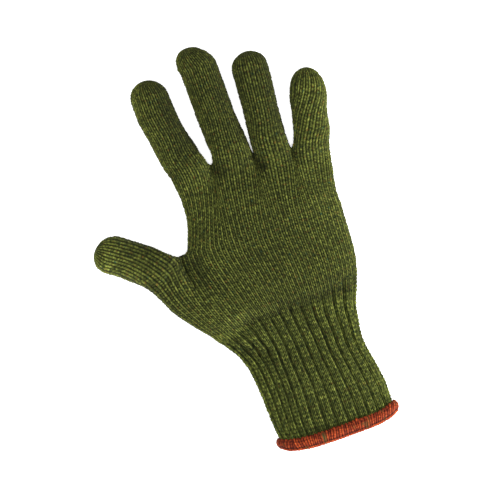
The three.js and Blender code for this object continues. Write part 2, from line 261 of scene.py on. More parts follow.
# Digits: ends are the wales at the left and right edges, at the root and on the finger.
# A web (first wale, last wale) is rounded by its radius, its reach and the turn of its wales.
# Shared wales (first, last, shift) run on from the parent. Tone, tip tone and side tones (left,
# middle, right) are painted light and shade: each digit, its tip and its sides made lighter or darker by
# how light falls.
# Rows are x, y, half width, direction and top, from the root; the last point is the tip.
DIGITS = {
    "index_finger": dict(
        wales=23, ends=(-1, 11), upper_ends=(-2, 9.5), webs=((10, 12),),
        rounds=((1.1, 2.6, 20),), shared=((-1, 10, 0), (12, 22, 49)),
        tone=0.76, tip_painted_light=0.06, painted_side_light=(1.85, 0.97, 0.32), evenness=0.5,
        rows=[(-30.0, 155.6, 11.6, 96, 15.5), (-33.2, 173.9, 12.8, 98, 19.5),
              (-36.0, 187.9, 12.6, 101, 18.5), (-40.0, 206.2, 11.5, 100, 17.5),
              (-42.6, 220.8, 11.9, 94, 17.5), (-43.3, 233.0, 11.7, 91, 16.5)],
        tip=(-44.2, 244.8)),
    "middle_finger": dict(
        wales=23, ends=(-1, 11), upper_ends=(-1.5, 10), webs=((10, 12), (21, 23)),
        rounds=((0.1, 1.9, 4), (1.5, 2.4, 20)), shared=((0, 10, 10), (12, 21, 40)),
        tone=0.71, tip_painted_light=0.15, painted_side_light=(1.22, 1.04, 0.52), evenness=0.7,
        rows=[(-8.2, 155.6, 12.5, 90, 16.0), (-7.6, 173.9, 12.8, 90, 20.0),
              (-7.0, 187.9, 12.2, 92, 19.0), (-8.4, 206.2, 11.4, 93, 18.0),
              (-8.9, 224.5, 11.4, 92, 18.0), (-9.5, 241.8, 11.6, 96, 17.0)],
        tip=(-13.8, 255.5)),
    "ring_finger": dict(
        wales=20, ends=(-1, 9), upper_ends=(-1.6, 8.4), webs=((8, 10), (18, 20)),
        rounds=((0.3, 1.9, 12), (0.1, 1.9, 0)), shared=((0, 8, 20), (10, 18, 34)),
        tone=0.72, tip_painted_light=-0.04, painted_side_light=(0.82, 1.12, 0.52), evenness=0.7,
        rows=[(16.2, 155.6, 12.2, 88, 15.5), (16.8, 173.9, 12.5, 88, 19.5),
              (17.4, 187.9, 11.1, 87, 18.5), (18.8, 206.2, 10.6, 86, 17.5),
              (20.0, 220.8, 11.2, 87, 17.5), (20.7, 231.6, 11.4, 88, 16.5)],
        tip=(21.5, 242.1)),
    "little_finger": dict(
        wales=18, ends=(-1, 8), upper_ends=(-3.4, 5.6), turn=24, webs=((16, 18),),
        rounds=((0.3, 1.9, 20),), shared=((0, 16, 28),),
        tone=1.17, tip_painted_light=0.03, painted_side_light=(0.76, 0.99, 1.16), evenness=0.3,
        rows=[(34.6, 149.5, 9.8, 84, 14.0), (39.3, 165.9, 11.6, 82, 18.0),
              (43.5, 180.0, 11.4, 77, 17.0), (46.8, 195.2, 10.9, 78, 16.0),
              (48.7, 203.0, 11.4, 80, 16.0), (49.5, 206.4, 11.1, 80, 15.5)],
        tip=(52.5, 221.5)),
    "thumb": dict(
        wales=16, ends=(-1, 6), upper_ends=(-1.9, 4.9), webs=((6, 8),),
        rounds=((0.3, 1.9, 20),), join=13, shared=((-1, 6, 0), (8, 15, 68)),
        tone=0.90, tip_painted_light=0.42, painted_side_light=(1.45, 1.05, 0.66), evenness=1.0,
        rows=[(-37.9, 95.4, 21.6, 124, 18.5), (-57.0, 116.7, 19.7, 134, 20.5),
              (-71.0, 130.4, 13.6, 140, 19.0), (-79.0, 137.5, 12.6, 140, 18.0),
              (-87.0, 143.8, 12.0, 140, 17.2), (-95.4, 149.8, 12.1, 140, 16.5)],
        tip=(-104.8, 156.0)),
}

# Soft valleys in the upper side, and how much painted shade darkens the wool in them
FOLDS = [
    # x, y, to x, to y, width, depth
    (-20.3, 181.5, -18.0, 177.5, 3.6, 3.2),
    (5.9, 180.0, 8.4, 172.5, 2.2, 4.0),
    (29.0, 175.4, 29.4, 172.0, 2.6, 2.6),
    (-55.0, 134.0, -50.0, 127.0, 4.0, 1.0),
    (-37, 70, -24, 61.5, 3.2, 2.6),
    (-57, 134, -36, 106, 7, 1.4),
    (-14, 88, 34, 89, 7, 1.1),
    (-44, 79, -26, 86, 5, 1.7),
    (-101.8, 158.0, -104.2, 148.6, 1.8, 2.4),
]
FOLD_SHADE = 0.13
# They are pressed in where the cloth is this high
FOLD_HEIGHTS = (10, 20)

# Tone of the wool on the palm and cuff: all over; painted light, lighter at the right and at the left,
# where light falls on the sides; and lighter in a band
PALM_TONE = 0.92
RIGHT_PAINTED_LIGHT, RIGHT_X = 0.14, (0, 44)
LEFT_PAINTED_LIGHT, LEFT_X = 0.10, (-50, -22)
BAND_TONE, BAND = 0.10, (-33, 11)
CUFF_BAND_TONE, CUFF_BAND_Y = 0.14, (45, 72)

# Corners of a grid's faces, as steps around and along, seen from outside and from inside
CORNERS = ((0, 0), (1, 0), (1, 1), (0, 1))
CORNERS_INSIDE = ((0, 0), (0, 1), (1, 1), (1, 0))

# Heights in the map for baking: the outer face, the inner face, the rims and the tip's fan
OUTER_MAP = (0.12, 0.87)
INNER_MAP = 0.085
RIM_MAPS = (0.10, 0.108)
RIM_MAP_HEIGHT = 0.005
TIP_MAP_HEIGHT = 0.006
# Height of the yarn for the shading of the inner face and the tip
INNER_YARN = 0.55
TIP_YARN = 0.5

# The overlock, as steps out from the cuff's face and along it, and its mesh
EDGE_PROFILE = [
    (0.5, 7.7), (1.4, 6.8), (1.9, 5.0), (1.7, 2.7), (0.7, 0.8), (-1.0, 0.2), (-2.7, 0.9),
    (-4.3, 2.9), (-4.5, 5.3), (-3.8, 6.9), (-2.6, 7.6), (-0.8, 7.8),
]
EDGE_COLUMNS = 1400
EDGE_ROWS = 40
# Its threads: distance between wraps and between loops, how far a wrap leans and wanders, and
# how much more at the right end, where it is untidy
WRAP_PITCH = 1.5
LOOP_PITCH = 2.5
WRAP_LEAN, WRAP_WANDER = 1.2, 0.6
UNTIDY_LEAN, UNTIDY_WANDER = 3.0, 0.45
UNTIDY_X = (18, 34)
THREADS_AROUND = 8
# Shape of the wraps, the height that all have, the height that differs, and how many differ;
# shape of the upper chain's loops, their wander, and the same two heights; shape of the lower
# chain's twist, its lean, and its strands for each wrap
WRAP_POWER, WRAP_LOW, WRAP_OWN, OWN_WRAPS = 0.42, 0.29, 0.72, 512
LOOP_POWER, LOOP_WANDER, LOOP_LOW, LOOP_OWN = 0.7, 0.25, 0.7, 0.3
TWIST_POWER, TWIST_LEAN, TWIST_SHARE = 0.6, 9, 0.62
# How far the wraps, the roll's own unevenness, the loops, the twist and the lines move the roll
WRAP_RELIEF, WRAP_LEVEL, ROLL_SWELL = 0.75, 0.35, 0.55
UPPER_LOSS, LOWER_LOSS = 0.6, 0.7
LOOP_RELIEF, LOOP_LEVEL = 0.7, 0.3
TWIST_RELIEF, TWIST_LEVEL = 0.6, 0.1
LINE_RELIEF = 0.4
SCALLOP = 0.35
LOWEST_EDGE = -0.3
# Height of the yarn, which paints shade and highlight into the thread's colour: beside a loop and how
# much more on it, so the upper chain is painted darker, the same for the twist, so the lower chain is
# painted as a bright line, and how much less in the lines, which are painted darker
LOOP_YARN, TWIST_YARN, LINE_YARN = (0.15, 0.75), (0.75, 0.35), 0.55
# Places and widths in shares around its roll: the chains and the sunk lines beside them
CHAIN_WIDTH = 0.03
LOWER_CHAIN = 0.335
LOWER_LINE = 0.272
UPPER_LINE = 0.075
LINE_WIDTH = 0.02
UPPER_LINE_DEPTH = 0.35
# The one loop that stands out, and the place and flecks where olive wool shows through
PEAK = (13.3, 1.8)
OLIVE_X, OLIVE_Y, OLIVE = (-8.1, 1.2), (5, 2.6), 0.85
OLIVE_FLECK, FLECK_NOISE = 0.45, (0.62, 0.9)

# Colours of the flecks in the wool, of the wool behind the thread and of the wool's sheen
BROWN_FLECK = (0.085, 0.042, 0.008, 1)
TEAL_FLECK = (0.012, 0.034, 0.016, 1)
OLIVE_WOOL = (0.045, 0.036, 0.009, 1)
SHEEN_TINT = (0.55, 0.62, 0.35, 1)
BLACK, WHITE = (0, 0, 0), (1, 1, 1)

# Studio, in metres: the camera looks straight down; the glove is turned in the picture, in degrees
CAMERA_DISTANCE = 1.6
FRAME_WIDTH = 0.305
FRAME_CENTRE = (-14.8, 126.2)
TURN = 18.6
VIEW_HEIGHT = 0.010
FLOOR_REACH = 4
FLOOR_DROP = 0.0003
FLOOR_GLOW = 0.30
ROOM_LIGHT = 0.56
LAMPS = [
    # name, right, up, height, size, power
    ("overhead", 0.0, 0.0, 2.2, 0.7, 42),
    ("right", 1.05, -0.40, 0.45, 0.4, 32),
    ("left", -0.45, -0.85, 0.75, 0.4, 7),
]

# The glove's middle line and hem, in the frame
edge_low, edge_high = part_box("cuff_edge")
hem_middle = (CUFF_ROWS[0][1] + CUFF_ROWS[0][2]) / 2
hem_half_width = (CUFF_ROWS[0][2] - CUFF_ROWS[0][1]) / 2
origin = np.array([
    (edge_low[0] + edge_high[0]) / 2 / MM - hem_middle,
    edge_low[1] / MM,
    0.0,
])


def smooth(value, low, high):
    step = np.clip((value - low) / (high - low), 0, 1)
    return step * step * (3 - 2 * step)


def near(value, middle, width, power=2):
    """1 at the middle, fading out over a width."""
    return np.exp(-((value - middle) / width) ** power)


def dashes(phase, power):
    """0 between dashes and 1 on them, one for each whole number of the phase."""
    return np.abs(np.sin(np.pi * phase)) ** power


def hump(step, fullness):
    """Height of a full arch at each step across it, from 0 to 1 and back."""
    return (1 - np.abs(2 * step - 1) ** (2 / SIDE_FULLNESS)) ** (fullness / 2)


def hem_ends(x, power):
    """0 in the middle of the hem and 1 at its ends."""
    return np.minimum(1, np.abs((x - hem_middle) / hem_half_width)) ** power


def sums(values):
    """Running sums, from 0."""
    return np.concatenate([[0], np.cumsum(values)])


def between(places, first, last):
    return (places >= first) & (places <= last)


def direction(degrees):
    angle = np.radians(degrees)
    return np.stack([np.cos(angle), np.sin(angle)], axis=-1)


def spline(rows, place):
    """Catmull-Rom through rows of numbers, at places counted in rows."""
    rows = np.asarray(rows, float)
    place = np.clip(np.asarray(place, float), 0, len(rows) - 1)
    first = np.minimum(place.astype(int), len(rows) - 2)
    step = (place - first)[..., None]
    padded = np.concatenate([2 * rows[:1] - rows[1:2], rows, 2 * rows[-1:] - rows[-2:-1]])
    a, b, c, d = (padded[first + k] for k in range(4))
    curve = 2 * b + (c - a) * step
    curve = curve + (2 * a - 5 * b + 4 * c - d) * step ** 2
    curve = curve + (3 * b - a - 3 * c + d) * step ** 3
    return curve / 2


def along_length(points, shares, spread=1.0):
    """Points at shares of a polyline's length, with only part of its rise counted."""
    steps = np.diff(points, axis=0)
    steps[:, -1] *= spread
    length = sums(np.linalg.norm(steps, axis=1))
    at = np.asarray(shares) * length[-1]
    return np.stack([np.interp(at, length, points[:, k]) for k in range(points.shape[1])], axis=-1)


def spline_length(rows):
    """Distance along a spline at a fine set of places."""
    places = np.linspace(0, len(rows) - 1, ROW_POINTS * len(rows))
    return places, sums(np.linalg.norm(np.diff(spline(rows, places), axis=0), axis=1))


def outline_at(points, shares):
    places, length = spline_length(points)
    return spline(points, np.interp(np.asarray(shares) * length[-1], length, places))


def soft_noise(seed, wales, courses, wide, tall):
    """Smooth seeded unevenness, in -1 to 1, in patches of wales by courses."""
    rng = np.random.default_rng(seed)
    table = rng.uniform(-1, 1, (NOISE_SQUARES + 1, NOISE_SQUARES + 1))
    x, y = wales / wide + NOISE_START, courses / tall + NOISE_START
    i, j = np.floor(x).astype(int), np.floor(y).astype(int)
    u, v = smooth(x - i, 0, 1), smooth(y - j, 0, 1)
    i, j = i % NOISE_SQUARES, j % NOISE_SQUARES
    lower = table[i, j] * (1 - u) + table[i + 1, j] * u
    upper = table[i, j + 1] * (1 - u) + table[i + 1, j + 1] * u
    return lower * (1 - v) + upper * v


def half_ring(shares, half_width, widest, peak, fullness, spread):
    """Sideways and upward places over one half of a section, evenly by length."""
    side = -half_width * np.sign(np.cos(HALF_TURN)) * np.abs(np.cos(HALF_TURN)) ** SIDE_FULLNESS
    rise = np.maximum(widest + (peak - widest) * np.abs(np.sin(HALF_TURN)) ** fullness, 0)
    return along_length(np.stack([side, rise], axis=1), shares, spread).T


def section_ring(share_over, share_under, x, y, half_width, aim, top, bottom, spread=1.0, closing=1.0):
    """Points around one section, at shares of its upper and lower halves from its left edge."""
    widest = WIDEST_HEIGHT * top + (1 - WIDEST_HEIGHT) * max(0, bottom)
    side, rise = np.concatenate([
        half_ring(share_over, half_width, widest, top, TOP_FULLNESS, spread),
        half_ring(share_under, half_width, widest, bottom, UNDERSIDE_FULLNESS, spread),
    ], axis=1)
    side, rise = side * closing, widest + (rise - widest) * closing
    angle = np.radians(aim)
    return np.stack([x + side * np.sin(angle), y - side * np.cos(angle), rise], axis=1)


def even_shares(places, ends, wales):
    """Shares of the upper and lower halves of a tube, for wales that lie evenly around it."""
    left, right = ends
    over, under = places[places <= right], places[places > right]
    return (over - left) / (right - left), (left + wales - under) / (left + wales - right)


def turned_shares(places, ends, wales, webs, narrow):
    """Which half of a tube each wale is on and its share there, with the webs' wales narrowed."""
    left, right = ends
    fine = np.linspace(left, left + wales, RING_POINTS)
    wrapped = np.mod(fine, wales)
    width = np.ones(len(fine))
    for first, last in webs:
        width[(wrapped > first) & (wrapped < last)] = narrow
    run = sums(width[:-1])
    at = np.interp(left + np.mod(places - left, wales), fine, run)
    middle = np.interp(right, fine, run)
    over = at <= middle
    return over, np.where(over, at / middle, (run[-1] - at) / (run[-1] - middle))


def arch(shares, start, end, peak, fullness, spread):
    """Points along an arch of cloth between two points, evenly by length."""
    start, end = np.asarray(start, float), np.asarray(end, float)
    points = start + (end - start) * HALF_STEPS[:, None]
    points[:, 2] += (peak - (start[2] + end[2]) / 2) * hump(HALF_STEPS, fullness)
    points[:, 2] = np.maximum(points[:, 2], 0)
    return along_length(points, shares, spread)


def arches(places, spans, spread):
    """A ring made of arches: each span is from one wale to another, between two points."""
    ring = np.zeros((len(places), 3))
    for first, last, start, end, peak, fullness in spans:
        inside = between(places, first, last)
        shares = (places[inside] - first) / (last - first)
        ring[inside] = arch(shares, start, end, peak, fullness, spread)
    return ring


def wale_places(ends, wales):
    """Mesh columns around a tube: close together on top and wider apart underneath."""
    left, right = ends
    over = np.arange(left, right, 1 / STEPS_ACROSS)
    return np.concatenate([over, np.arange(right, left + wales, 1 / STEPS_UNDER)])


def mirrored(places, ends, wales):
    """The wale on the upper side that lies over each place."""
    left, right = ends
    share = (places - right) / (left + wales - right)
    return np.where(places <= right, places, right - share * (right - left))


def leaning(table, places):
    return direction(np.interp(places, *zip(*table)))


def hermite(start, end, start_way, end_way, t):
    """Curves from start to end that set off and arrive along their ways, at steps of 0 to 1."""
    curve = (2 * t ** 3 - 3 * t ** 2 + 1) * start + (3 * t ** 2 - 2 * t ** 3) * end
    return curve + (t ** 3 - 2 * t ** 2 + t) * start_way + (t ** 3 - t ** 2) * end_way


def between_outlines(columns, shares, left, right, step):
    """Moves the columns near each edge so that the edges follow their outlines."""
    to_left = outline_at(left, step)[:, None] - columns[:, :1]
    to_right = outline_at(right, step)[:, None] - columns[:, np.argmax(shares)][:, None]
    near_left = ((1 - shares) ** EDGE_HOLD)[None, :, None]
    near_right = (shares ** EDGE_HOLD)[None, :, None]
    return columns + to_left * near_left + to_right * near_right


def front(crotch):
    """Where the upper cloth parts."""
    return crotch[:3]


def back(crotch):
    """Where the lower cloth parts."""
    return (*crotch[:2], crotch[3])


# Ring of cloth that the thumb and the palm grow from, in the trunk's wales
GUSSET_END = (*GUSSET_LEFT[-1], EDGE_HEIGHT)
SIDE_END = (*GUSSET_RIGHT[-1], SIDE_HEIGHT)
TRUNK_SPANS = [
    (-1, CROTCH_WALE, GUSSET_END, front(THUMB_CROTCH), THUMB_RISE, TOP_FULLNESS),
    (CROTCH_WALE, TRUNK_ENDS[1], front(THUMB_CROTCH), SIDE_END, PALM_RISE, TOP_FULLNESS),
    (TRUNK_ENDS[1], UNDER_CROTCH_WALE, SIDE_END, back(THUMB_CROTCH),
     -PRESSED_DEPTH, UNDERSIDE_FULLNESS),
    (UNDER_CROTCH_WALE, TRUNK_WALES - 1, back(THUMB_CROTCH), GUSSET_END,
     -PRESSED_DEPTH, UNDERSIDE_FULLNESS),
]


def palm_end_spans():
    """The ring that the four fingers grow from, in the palm's wales."""
    left = (*PALM_LEFT[-1], EDGE_HEIGHT)
    right = (*PALM_RIGHT[-1], EDGE_HEIGHT)
    tops = [left, *map(front, FINGER_CROTCHES), right]
    unders = [left, *map(back, FINGER_CROTCHES), right]
    spans = []
    for k in range(len(FINGER_RISES)):
        spans.append((FINGER_WALES[k], FINGER_WALES[k + 1], tops[k], tops[k + 1],
                      FINGER_RISES[k], TOP_FULLNESS))
        spans.append((UNDER_FINGER_WALES[k + 1], UNDER_FINGER_WALES[k], unders[k + 1], unders[k],
                      -PRESSED_DEPTH, UNDERSIDE_FULLNESS))
    return spans


def rounded_corner(start, corner, end, step, reach):
    """Points along two straight runs whose corner is rounded: step is -1 to 0, then 0 to 1."""
    before, after = np.linalg.norm(corner - start), np.linalg.norm(end - corner)
    reach = min(reach, 0.95 * before, 0.95 * after)
    away = np.where(step < 0, step * before, step * after)
    way = np.where(step[:, None] < 0, (corner - start) / before, (end - corner) / after)
    points = corner + way * away[:, None]
    if reach > 0:
        t = np.clip((away + reach) / (2 * reach), 0, 1)[:, None]
        first = corner - (corner - start) / before * reach
        last = corner + (end - corner) / after * reach
        curve = (1 - t) ** 2 * first + 2 * t * (1 - t) * corner + t ** 2 * last
        points = np.where(np.abs(away)[:, None] < reach, curve, points)
    return points, (before + away) / (before + after)


def gusset_half(t, left, crease, right, top, peaks, fullness, crotch_height):
    """The upper or lower half of a gusset section: runs of points left and right of the crease."""
    both = np.concatenate([HALF_STEPS - 1, HALF_STEPS])
    points, share = rounded_corner(left, crease, right, both, CREASE_ROUNDING * (1 - t))
    widest = WIDEST_HEIGHT * top[0]
    whole = widest + (top[1] - widest) * hump(share, fullness)
    parted = []
    for start, end, peak in ((EDGE_HEIGHT, crotch_height, peaks[0]),
                             (crotch_height, SIDE_HEIGHT, peaks[1])):
        line = start + (end - start) * HALF_STEPS
        parted.append(line + (peak - (start + end) / 2) * hump(HALF_STEPS, fullness))
    mix = smooth(t, *GUSSET_PARTING)
    height = np.maximum(whole * (1 - mix) + np.concatenate(parted) * mix, 0)
    points = np.concatenate([points, height[:, None]], axis=1)
    return np.split(points, 2)


def wale_shares(places, widths):
    """How far along a run each wale stands, for wales of given widths beside each other."""
    fine = np.linspace(places.min(), places.max(), WALE_POINTS)
    total = sums(np.interp(fine[:-1], *widths))
    return np.interp(places, fine, total / total[-1])


def gusset_ring(places, t):
    """One course of the gusset: t is 0 at the ribs' upper end and 1 where the thumb parts."""
    left, right = outline_at(GUSSET_LEFT, t), outline_at(GUSSET_RIGHT, t)
    top = np.interp(PALM_TOPS[0][0] + t * GUSSET_LENGTH, *zip(*PALM_TOPS))
    over_left, over_right = gusset_half(
        t, left, outline_at(CREASE_OVER, t), right, (top, top),
        (THUMB_RISE, PALM_RISE), TOP_FULLNESS, THUMB_CROTCH[2])
    under_left, under_right = gusset_half(
        t, left, outline_at(CREASE_UNDER, t), right, (top, -PRESSED_DEPTH),
        (-PRESSED_DEPTH, -PRESSED_DEPTH), UNDERSIDE_FULLNESS, THUMB_CROTCH[3])
    wales, _, _, widths = zip(*WALE_WIDTHS)
    widths = (wales, 1 + (np.array(widths) - 1) * (1 - t))
    even = (wales, np.ones(len(wales)))
    ring = np.zeros((len(places), 3))
    for low, high, run, wide in (
            (TRUNK_ENDS[0], CROTCH_WALE, over_left, even),
            (CROTCH_WALE, TRUNK_ENDS[1], over_right, widths),
            (TRUNK_ENDS[1], UNDER_CROTCH_WALE, under_right[::-1], even),
            (UNDER_CROTCH_WALE, TRUNK_ENDS[0] + TRUNK_WALES, under_left[::-1], even)):
        inside = between(places, low, high)
        shares = wale_shares(np.append(places[inside], [low, high]), wide)[:-2]
        ring[inside] = along_length(run, shares, TRUNK_SPREAD)
    return ring


def ring_shares(ring, places):
    """Shares of a ring's upper and lower halves at which its wales stand."""
    steps = np.roll(ring, -1, axis=0) - ring
    steps[:, 2] *= TRUNK_SPREAD
    length = np.linalg.norm(steps, axis=1)
    at = sums(length[:-1])
    right = at[np.argmin(np.abs(places - TRUNK_ENDS[1]))]
    over = places <= TRUNK_ENDS[1]
    return at[over] / right, (length.sum() - at[~over]) / (length.sum() - right)


def cuff_ring(places, y, table, upper):
    """One course of the cuff, at a distance from the hem."""
    left, right, top, bottom = (np.interp(y, table[:, 0], table[:, c]) for c in (1, 2, 3, 4))
    over = places[places <= TRUNK_ENDS[1]]
    wales, hem, wrist, _ = zip(*WALE_WIDTHS)
    widths = np.array(hem) + (np.array(wrist) - np.array(hem)) * smooth(y, HEM_START, WRIST_Y)
    fade = smooth(y, WRIST_Y - WRIST_BLEND, table[-1, 0])
    share_over = wale_shares(over, (wales, widths)) * (1 - fade) + upper[0] * fade
    share_under = even_shares(places, TRUNK_ENDS, TRUNK_WALES)[1] * (1 - fade) + upper[1] * fade
    ring = section_ring(share_over, share_under, (left + right) / 2, y, (right - left) / 2,
                        ALONG_GLOVE, top, bottom, TRUNK_SPREAD)
    rise = HEM_RISE * hem_ends(ring[:, 0], 4)
    ring[:, 1] += rise * np.maximum(0, 1 - (ring[:, 1] - HEM_START) / HEM_RISE_REACH)
    return ring


def trunk_grid(places, courses):
    """Cuff and gusset, from the hem to the ring where the thumb parts from the palm."""
    grid = np.zeros((len(courses), len(places), 3))
    table = spline(CUFF_ROWS, np.linspace(0, len(CUFF_ROWS) - 1, CURVE_POINTS))
    upper = ring_shares(gusset_ring(places, 0.0), places)
    for k, course in enumerate(courses):
        if course < CUFF_COURSES:
            y = HEM_START + (table[-1, 0] - HEM_START) * course / CUFF_COURSES
            grid[k] = cuff_ring(places, y, table, upper)
        else:
            t = (course - CUFF_COURSES) / GUSSET_COURSES
            grid[k] = gusset_ring(places, t + GUSSET_EASE * t * (1 - t))
    return grid


def palm_grid(places, courses):
    """Palm above the thumb, from the thumb's crotch to the ring that the fingers grow from."""
    t = courses / PALM_COURSES
    start = np.zeros((len(places), 3))
    from_trunk = between(places, 0, PALM_WEB[0])
    start[from_trunk] = arches(places[from_trunk] + CROTCH_WALE, TRUNK_SPANS[1:3], TRUNK_SPREAD)
    corner_front, corner_back = np.array(front(THUMB_CROTCH)), np.array(back(THUMB_CROTCH))
    web = (places % PALM_WALES - PALM_WEB[0]) / (PALM_WEB[1] - PALM_WEB[0])
    start[~from_trunk] = (corner_back + (corner_front - corner_back) * web[:, None])[~from_trunk]
    end = arches(places, palm_end_spans(), FINGER_SPREAD)
    over = mirrored(places, PALM_ENDS, PALM_WALES)
    reach = np.linalg.norm(end[:, :2] - start[:, :2], axis=1, keepdims=True)
    columns = hermite(start[:, :2], end[:, :2], reach * leaning(LEAN_AT_CROTCH, over),
                      reach * leaning(LEAN_AT_FINGERS, over), t[:, None, None])
    shares = (over + 1) / (PALM_ENDS[1] + 1)
    columns = between_outlines(columns, shares, PALM_LEFT, PALM_RIGHT, t)
    top = np.interp(PALM_TOPS[4][0] + t * PALM_LENGTH, *zip(*PALM_TOPS))[:, None]
    share_over, share_under = even_shares(places, PALM_ENDS, PALM_WALES)
    single = section_ring(share_over, share_under, 0, 0, PALM_HALF_WIDTH, ALONG_GLOVE,
                          1.0, -PRESSED_DEPTH / PALM_PRESSED, TRUNK_SPREAD)
    height = np.maximum(top * single[None, :, 2], 0)
    opening = smooth(t, *PALM_OPENING)[:, None]
    height = start[:, 2] * (1 - opening) + height * opening
    mix = smooth(t, *PALM_PARTING)[:, None] ** PALM_PARTING_POWER
    height = height * (1 - mix) + end[:, 2] * mix
    return np.concatenate([columns, height[..., None]], axis=2)


def first_ring(name, places):
    """Where a digit starts, taken from the ring of the piece that it grows from."""
    digit = DIGITS[name]
    wales = digit["wales"]
    ring = np.zeros((len(places), 3))
    thumb = name == "thumb"
    spans, spread = (TRUNK_SPANS, TRUNK_SPREAD) if thumb else (palm_end_spans(), FINGER_SPREAD)
    for first, last, shift in digit["shared"]:
        inside = between(places, first, last)
        ring[inside] = arches(places[inside] + shift, spans, spread)
    wrapped = places % wales
    for first, last in digit["webs"]:
        start, end = (ring_point(spans, digit["shared"], place, wales) for place in (first, last))
        inside = (wrapped > first) & (wrapped < last)
        share = ((wrapped - first) / (last - first))[:, None]
        ring[inside] = (start + (end - start) * share)[inside]
    return ring


def ring_point(spans, shared, place, wales):
    """The point of the parent's ring at one wale of the digit."""
    for at in (place, place - wales):
        for first, last, shift in shared:
            if first <= at <= last:
                return arches(np.array([at + shift], float), spans, 1.0)[0]
    raise ValueError("the wale isn't shared")


def digit_courses(name):
    """Where the digit's own sections start, and how many courses lead from there to the tip."""
    digit = DIGITS[name]
    rows = np.asarray(digit["rows"], float)
    places, length = spline_length(rows[:, :2])
    ring = first_ring(name, wale_places(digit["ends"], digit["wales"]))
    middle = (ring[:, :2].min(axis=0) + ring[:, :2].max(axis=0)) / 2
    nearest = np.argmin(np.linalg.norm(spline(rows[:, :2], places) - middle, axis=1))
    shaft = int(round((length[-1] - length[nearest]) / DIGIT_COURSE))
    return length[nearest], shaft


def at_right_edge(wale, digit):
    return wale < digit["wales"] * RIGHT_EDGE_SHARE


def first_ways(name, places, aim):
    """The way each wale of a digit sets off: on from the parent's wale, or aside from a crotch."""
    digit = DIGITS[name]
    shift = digit["shared"][0][2]
    over = mirrored(places, digit["ends"], digit["wales"]) + shift
    ways = leaning(LEAN_AT_THUMB if name == "thumb" else LEAN_AT_FINGERS, over)
    wrapped = places % digit["wales"]
    for (first, last), (_, _, turn) in zip(digit["webs"], digit["rounds"]):
        middle = (first + last) / 2
        beside = near(wrapped, middle, WEB_REACH, 4)[:, None]
        aside = direction(aim + (turn if at_right_edge(middle, digit) else -turn))
        ways = ways * (1 - beside) + aside * beside
    return ways


def crotch_rounding(digit, places, aim, away):
    """How far the wales at a crotch stand aside, so that the gap between two digits ends round."""
    aside = np.zeros((len(places), 2))
    for (first, last), (radius, reach, _) in zip(digit["webs"], digit["rounds"]):
        middle = (first + last) / 2
        apart = (places - middle + digit["wales"] / 2) % digit["wales"] - digit["wales"] / 2
        beside = near(apart, 0, reach, 4)[:, None]
        bow = radius * (1 - (1 - min(away / (ROUND_HEIGHT * radius), 1)) ** 2) ** 0.5
        turn = 90 if at_right_edge(middle, digit) else -90
        aside = aside + beside * bow * direction(aim + turn)
    return aside


def digit_grid(name, places, courses):
    """A finger or the thumb, from the ring that it grows from to its closed tip."""
    digit = DIGITS[name]
    rows = np.asarray(digit["rows"], float)
    spots, length = spline_length(rows[:, :2])
    start_length, shaft = digit_courses(name)
    step = (length[-1] - start_length) / shaft
    spread = THUMB_SPREAD if name == "thumb" else FINGER_SPREAD
    ring = first_ring(name, places)
    first_ends, last_ends = np.array(digit["ends"]), np.array(digit["upper_ends"])
    grid = np.zeros((len(courses), len(places), 3))

    def tube_at(course):
        row = spline(rows, np.interp(start_length + course * step, length, spots))
        turn = np.clip((course - shaft) / TIP_COURSES, 0, 1) * np.pi / 2
        middle = row[:2] + (np.asarray(digit["tip"]) - rows[-1, :2]) * np.sin(turn)
        turned = smooth(course, 0, digit.get("turn", TURN_COURSES))
        ends = first_ends + (last_ends - first_ends) * turned
        narrow = WEB_NARROWING + (1 - WEB_NARROWING) * turned
        over, share = turned_shares(places, ends, digit["wales"], digit["webs"], narrow)
        halves = section_ring(share[over], share[~over], middle[0], middle[1], row[2], row[3], row[4],
                              -PRESSED_DEPTH, spread, np.cos(turn))
        tube = np.zeros((len(places), 3))
        tube[over], tube[~over] = halves[:over.sum()], halves[over.sum():]
        return tube

    join = digit.get("join", JOIN_COURSES)
    joined = tube_at(join)
    onward = (tube_at(join + 0.5) - joined) * 2 * join
    aim = (rows[1, 3] + rows[2, 3]) / 2
    reach = np.linalg.norm((joined - ring)[:, :2], axis=1, keepdims=True)
    ways = first_ways(name, places, aim) * reach
    for k, course in enumerate(courses):
        grid[k] = tube_at(course)
        t = course / join
        if t < 1:
            mix = smooth(t, 0, 1)
            aside = crotch_rounding(digit, places, aim, course * DIGIT_COURSE)
            flat = hermite(ring[:, :2], joined[:, :2], ways, onward[:, :2], t)
            grid[k, :, :2] = flat + aside * (1 - smooth(t, *ROUNDING_END))
            grid[k, :, 2] = ring[:, 2] * (1 - mix) + grid[k, :, 2] * mix
    return grid


def fold_depth(points):
    """How deep the folds are at each point."""
    depth = np.zeros(points.shape[:-1])
    for x0, y0, x1, y1, width, deep in FOLDS:
        line = np.array([x1 - x0, y1 - y0], float)
        to = points[..., :2] - np.array([x0, y0])
        share = np.clip((to @ line) / (line @ line), 0, 1)
        depth += deep * near(np.linalg.norm(to - share[..., None] * line, axis=-1), 0, width)
    return depth


def palm_tone_and_painted_light(points):
    """Painted light and shade: the wool a little lighter towards the sides, where light falls on them,
    and darker in the folds, where shade falls.
    """
    x, y = points[..., 0], points[..., 1]
    band = BAND_TONE + CUFF_BAND_TONE * (1 - smooth(y, *CUFF_BAND_Y))
    # painted light: the palm's and cuff's sides lighter where light falls on them
    sides = RIGHT_PAINTED_LIGHT * smooth(x, *RIGHT_X) + LEFT_PAINTED_LIGHT * (1 - smooth(x, *LEFT_X))
    sides = sides + band * near(x, *BAND)
    # painted shade in the folds
    return (PALM_TONE + sides) * (1 - FOLD_SHADE * fold_depth(points))


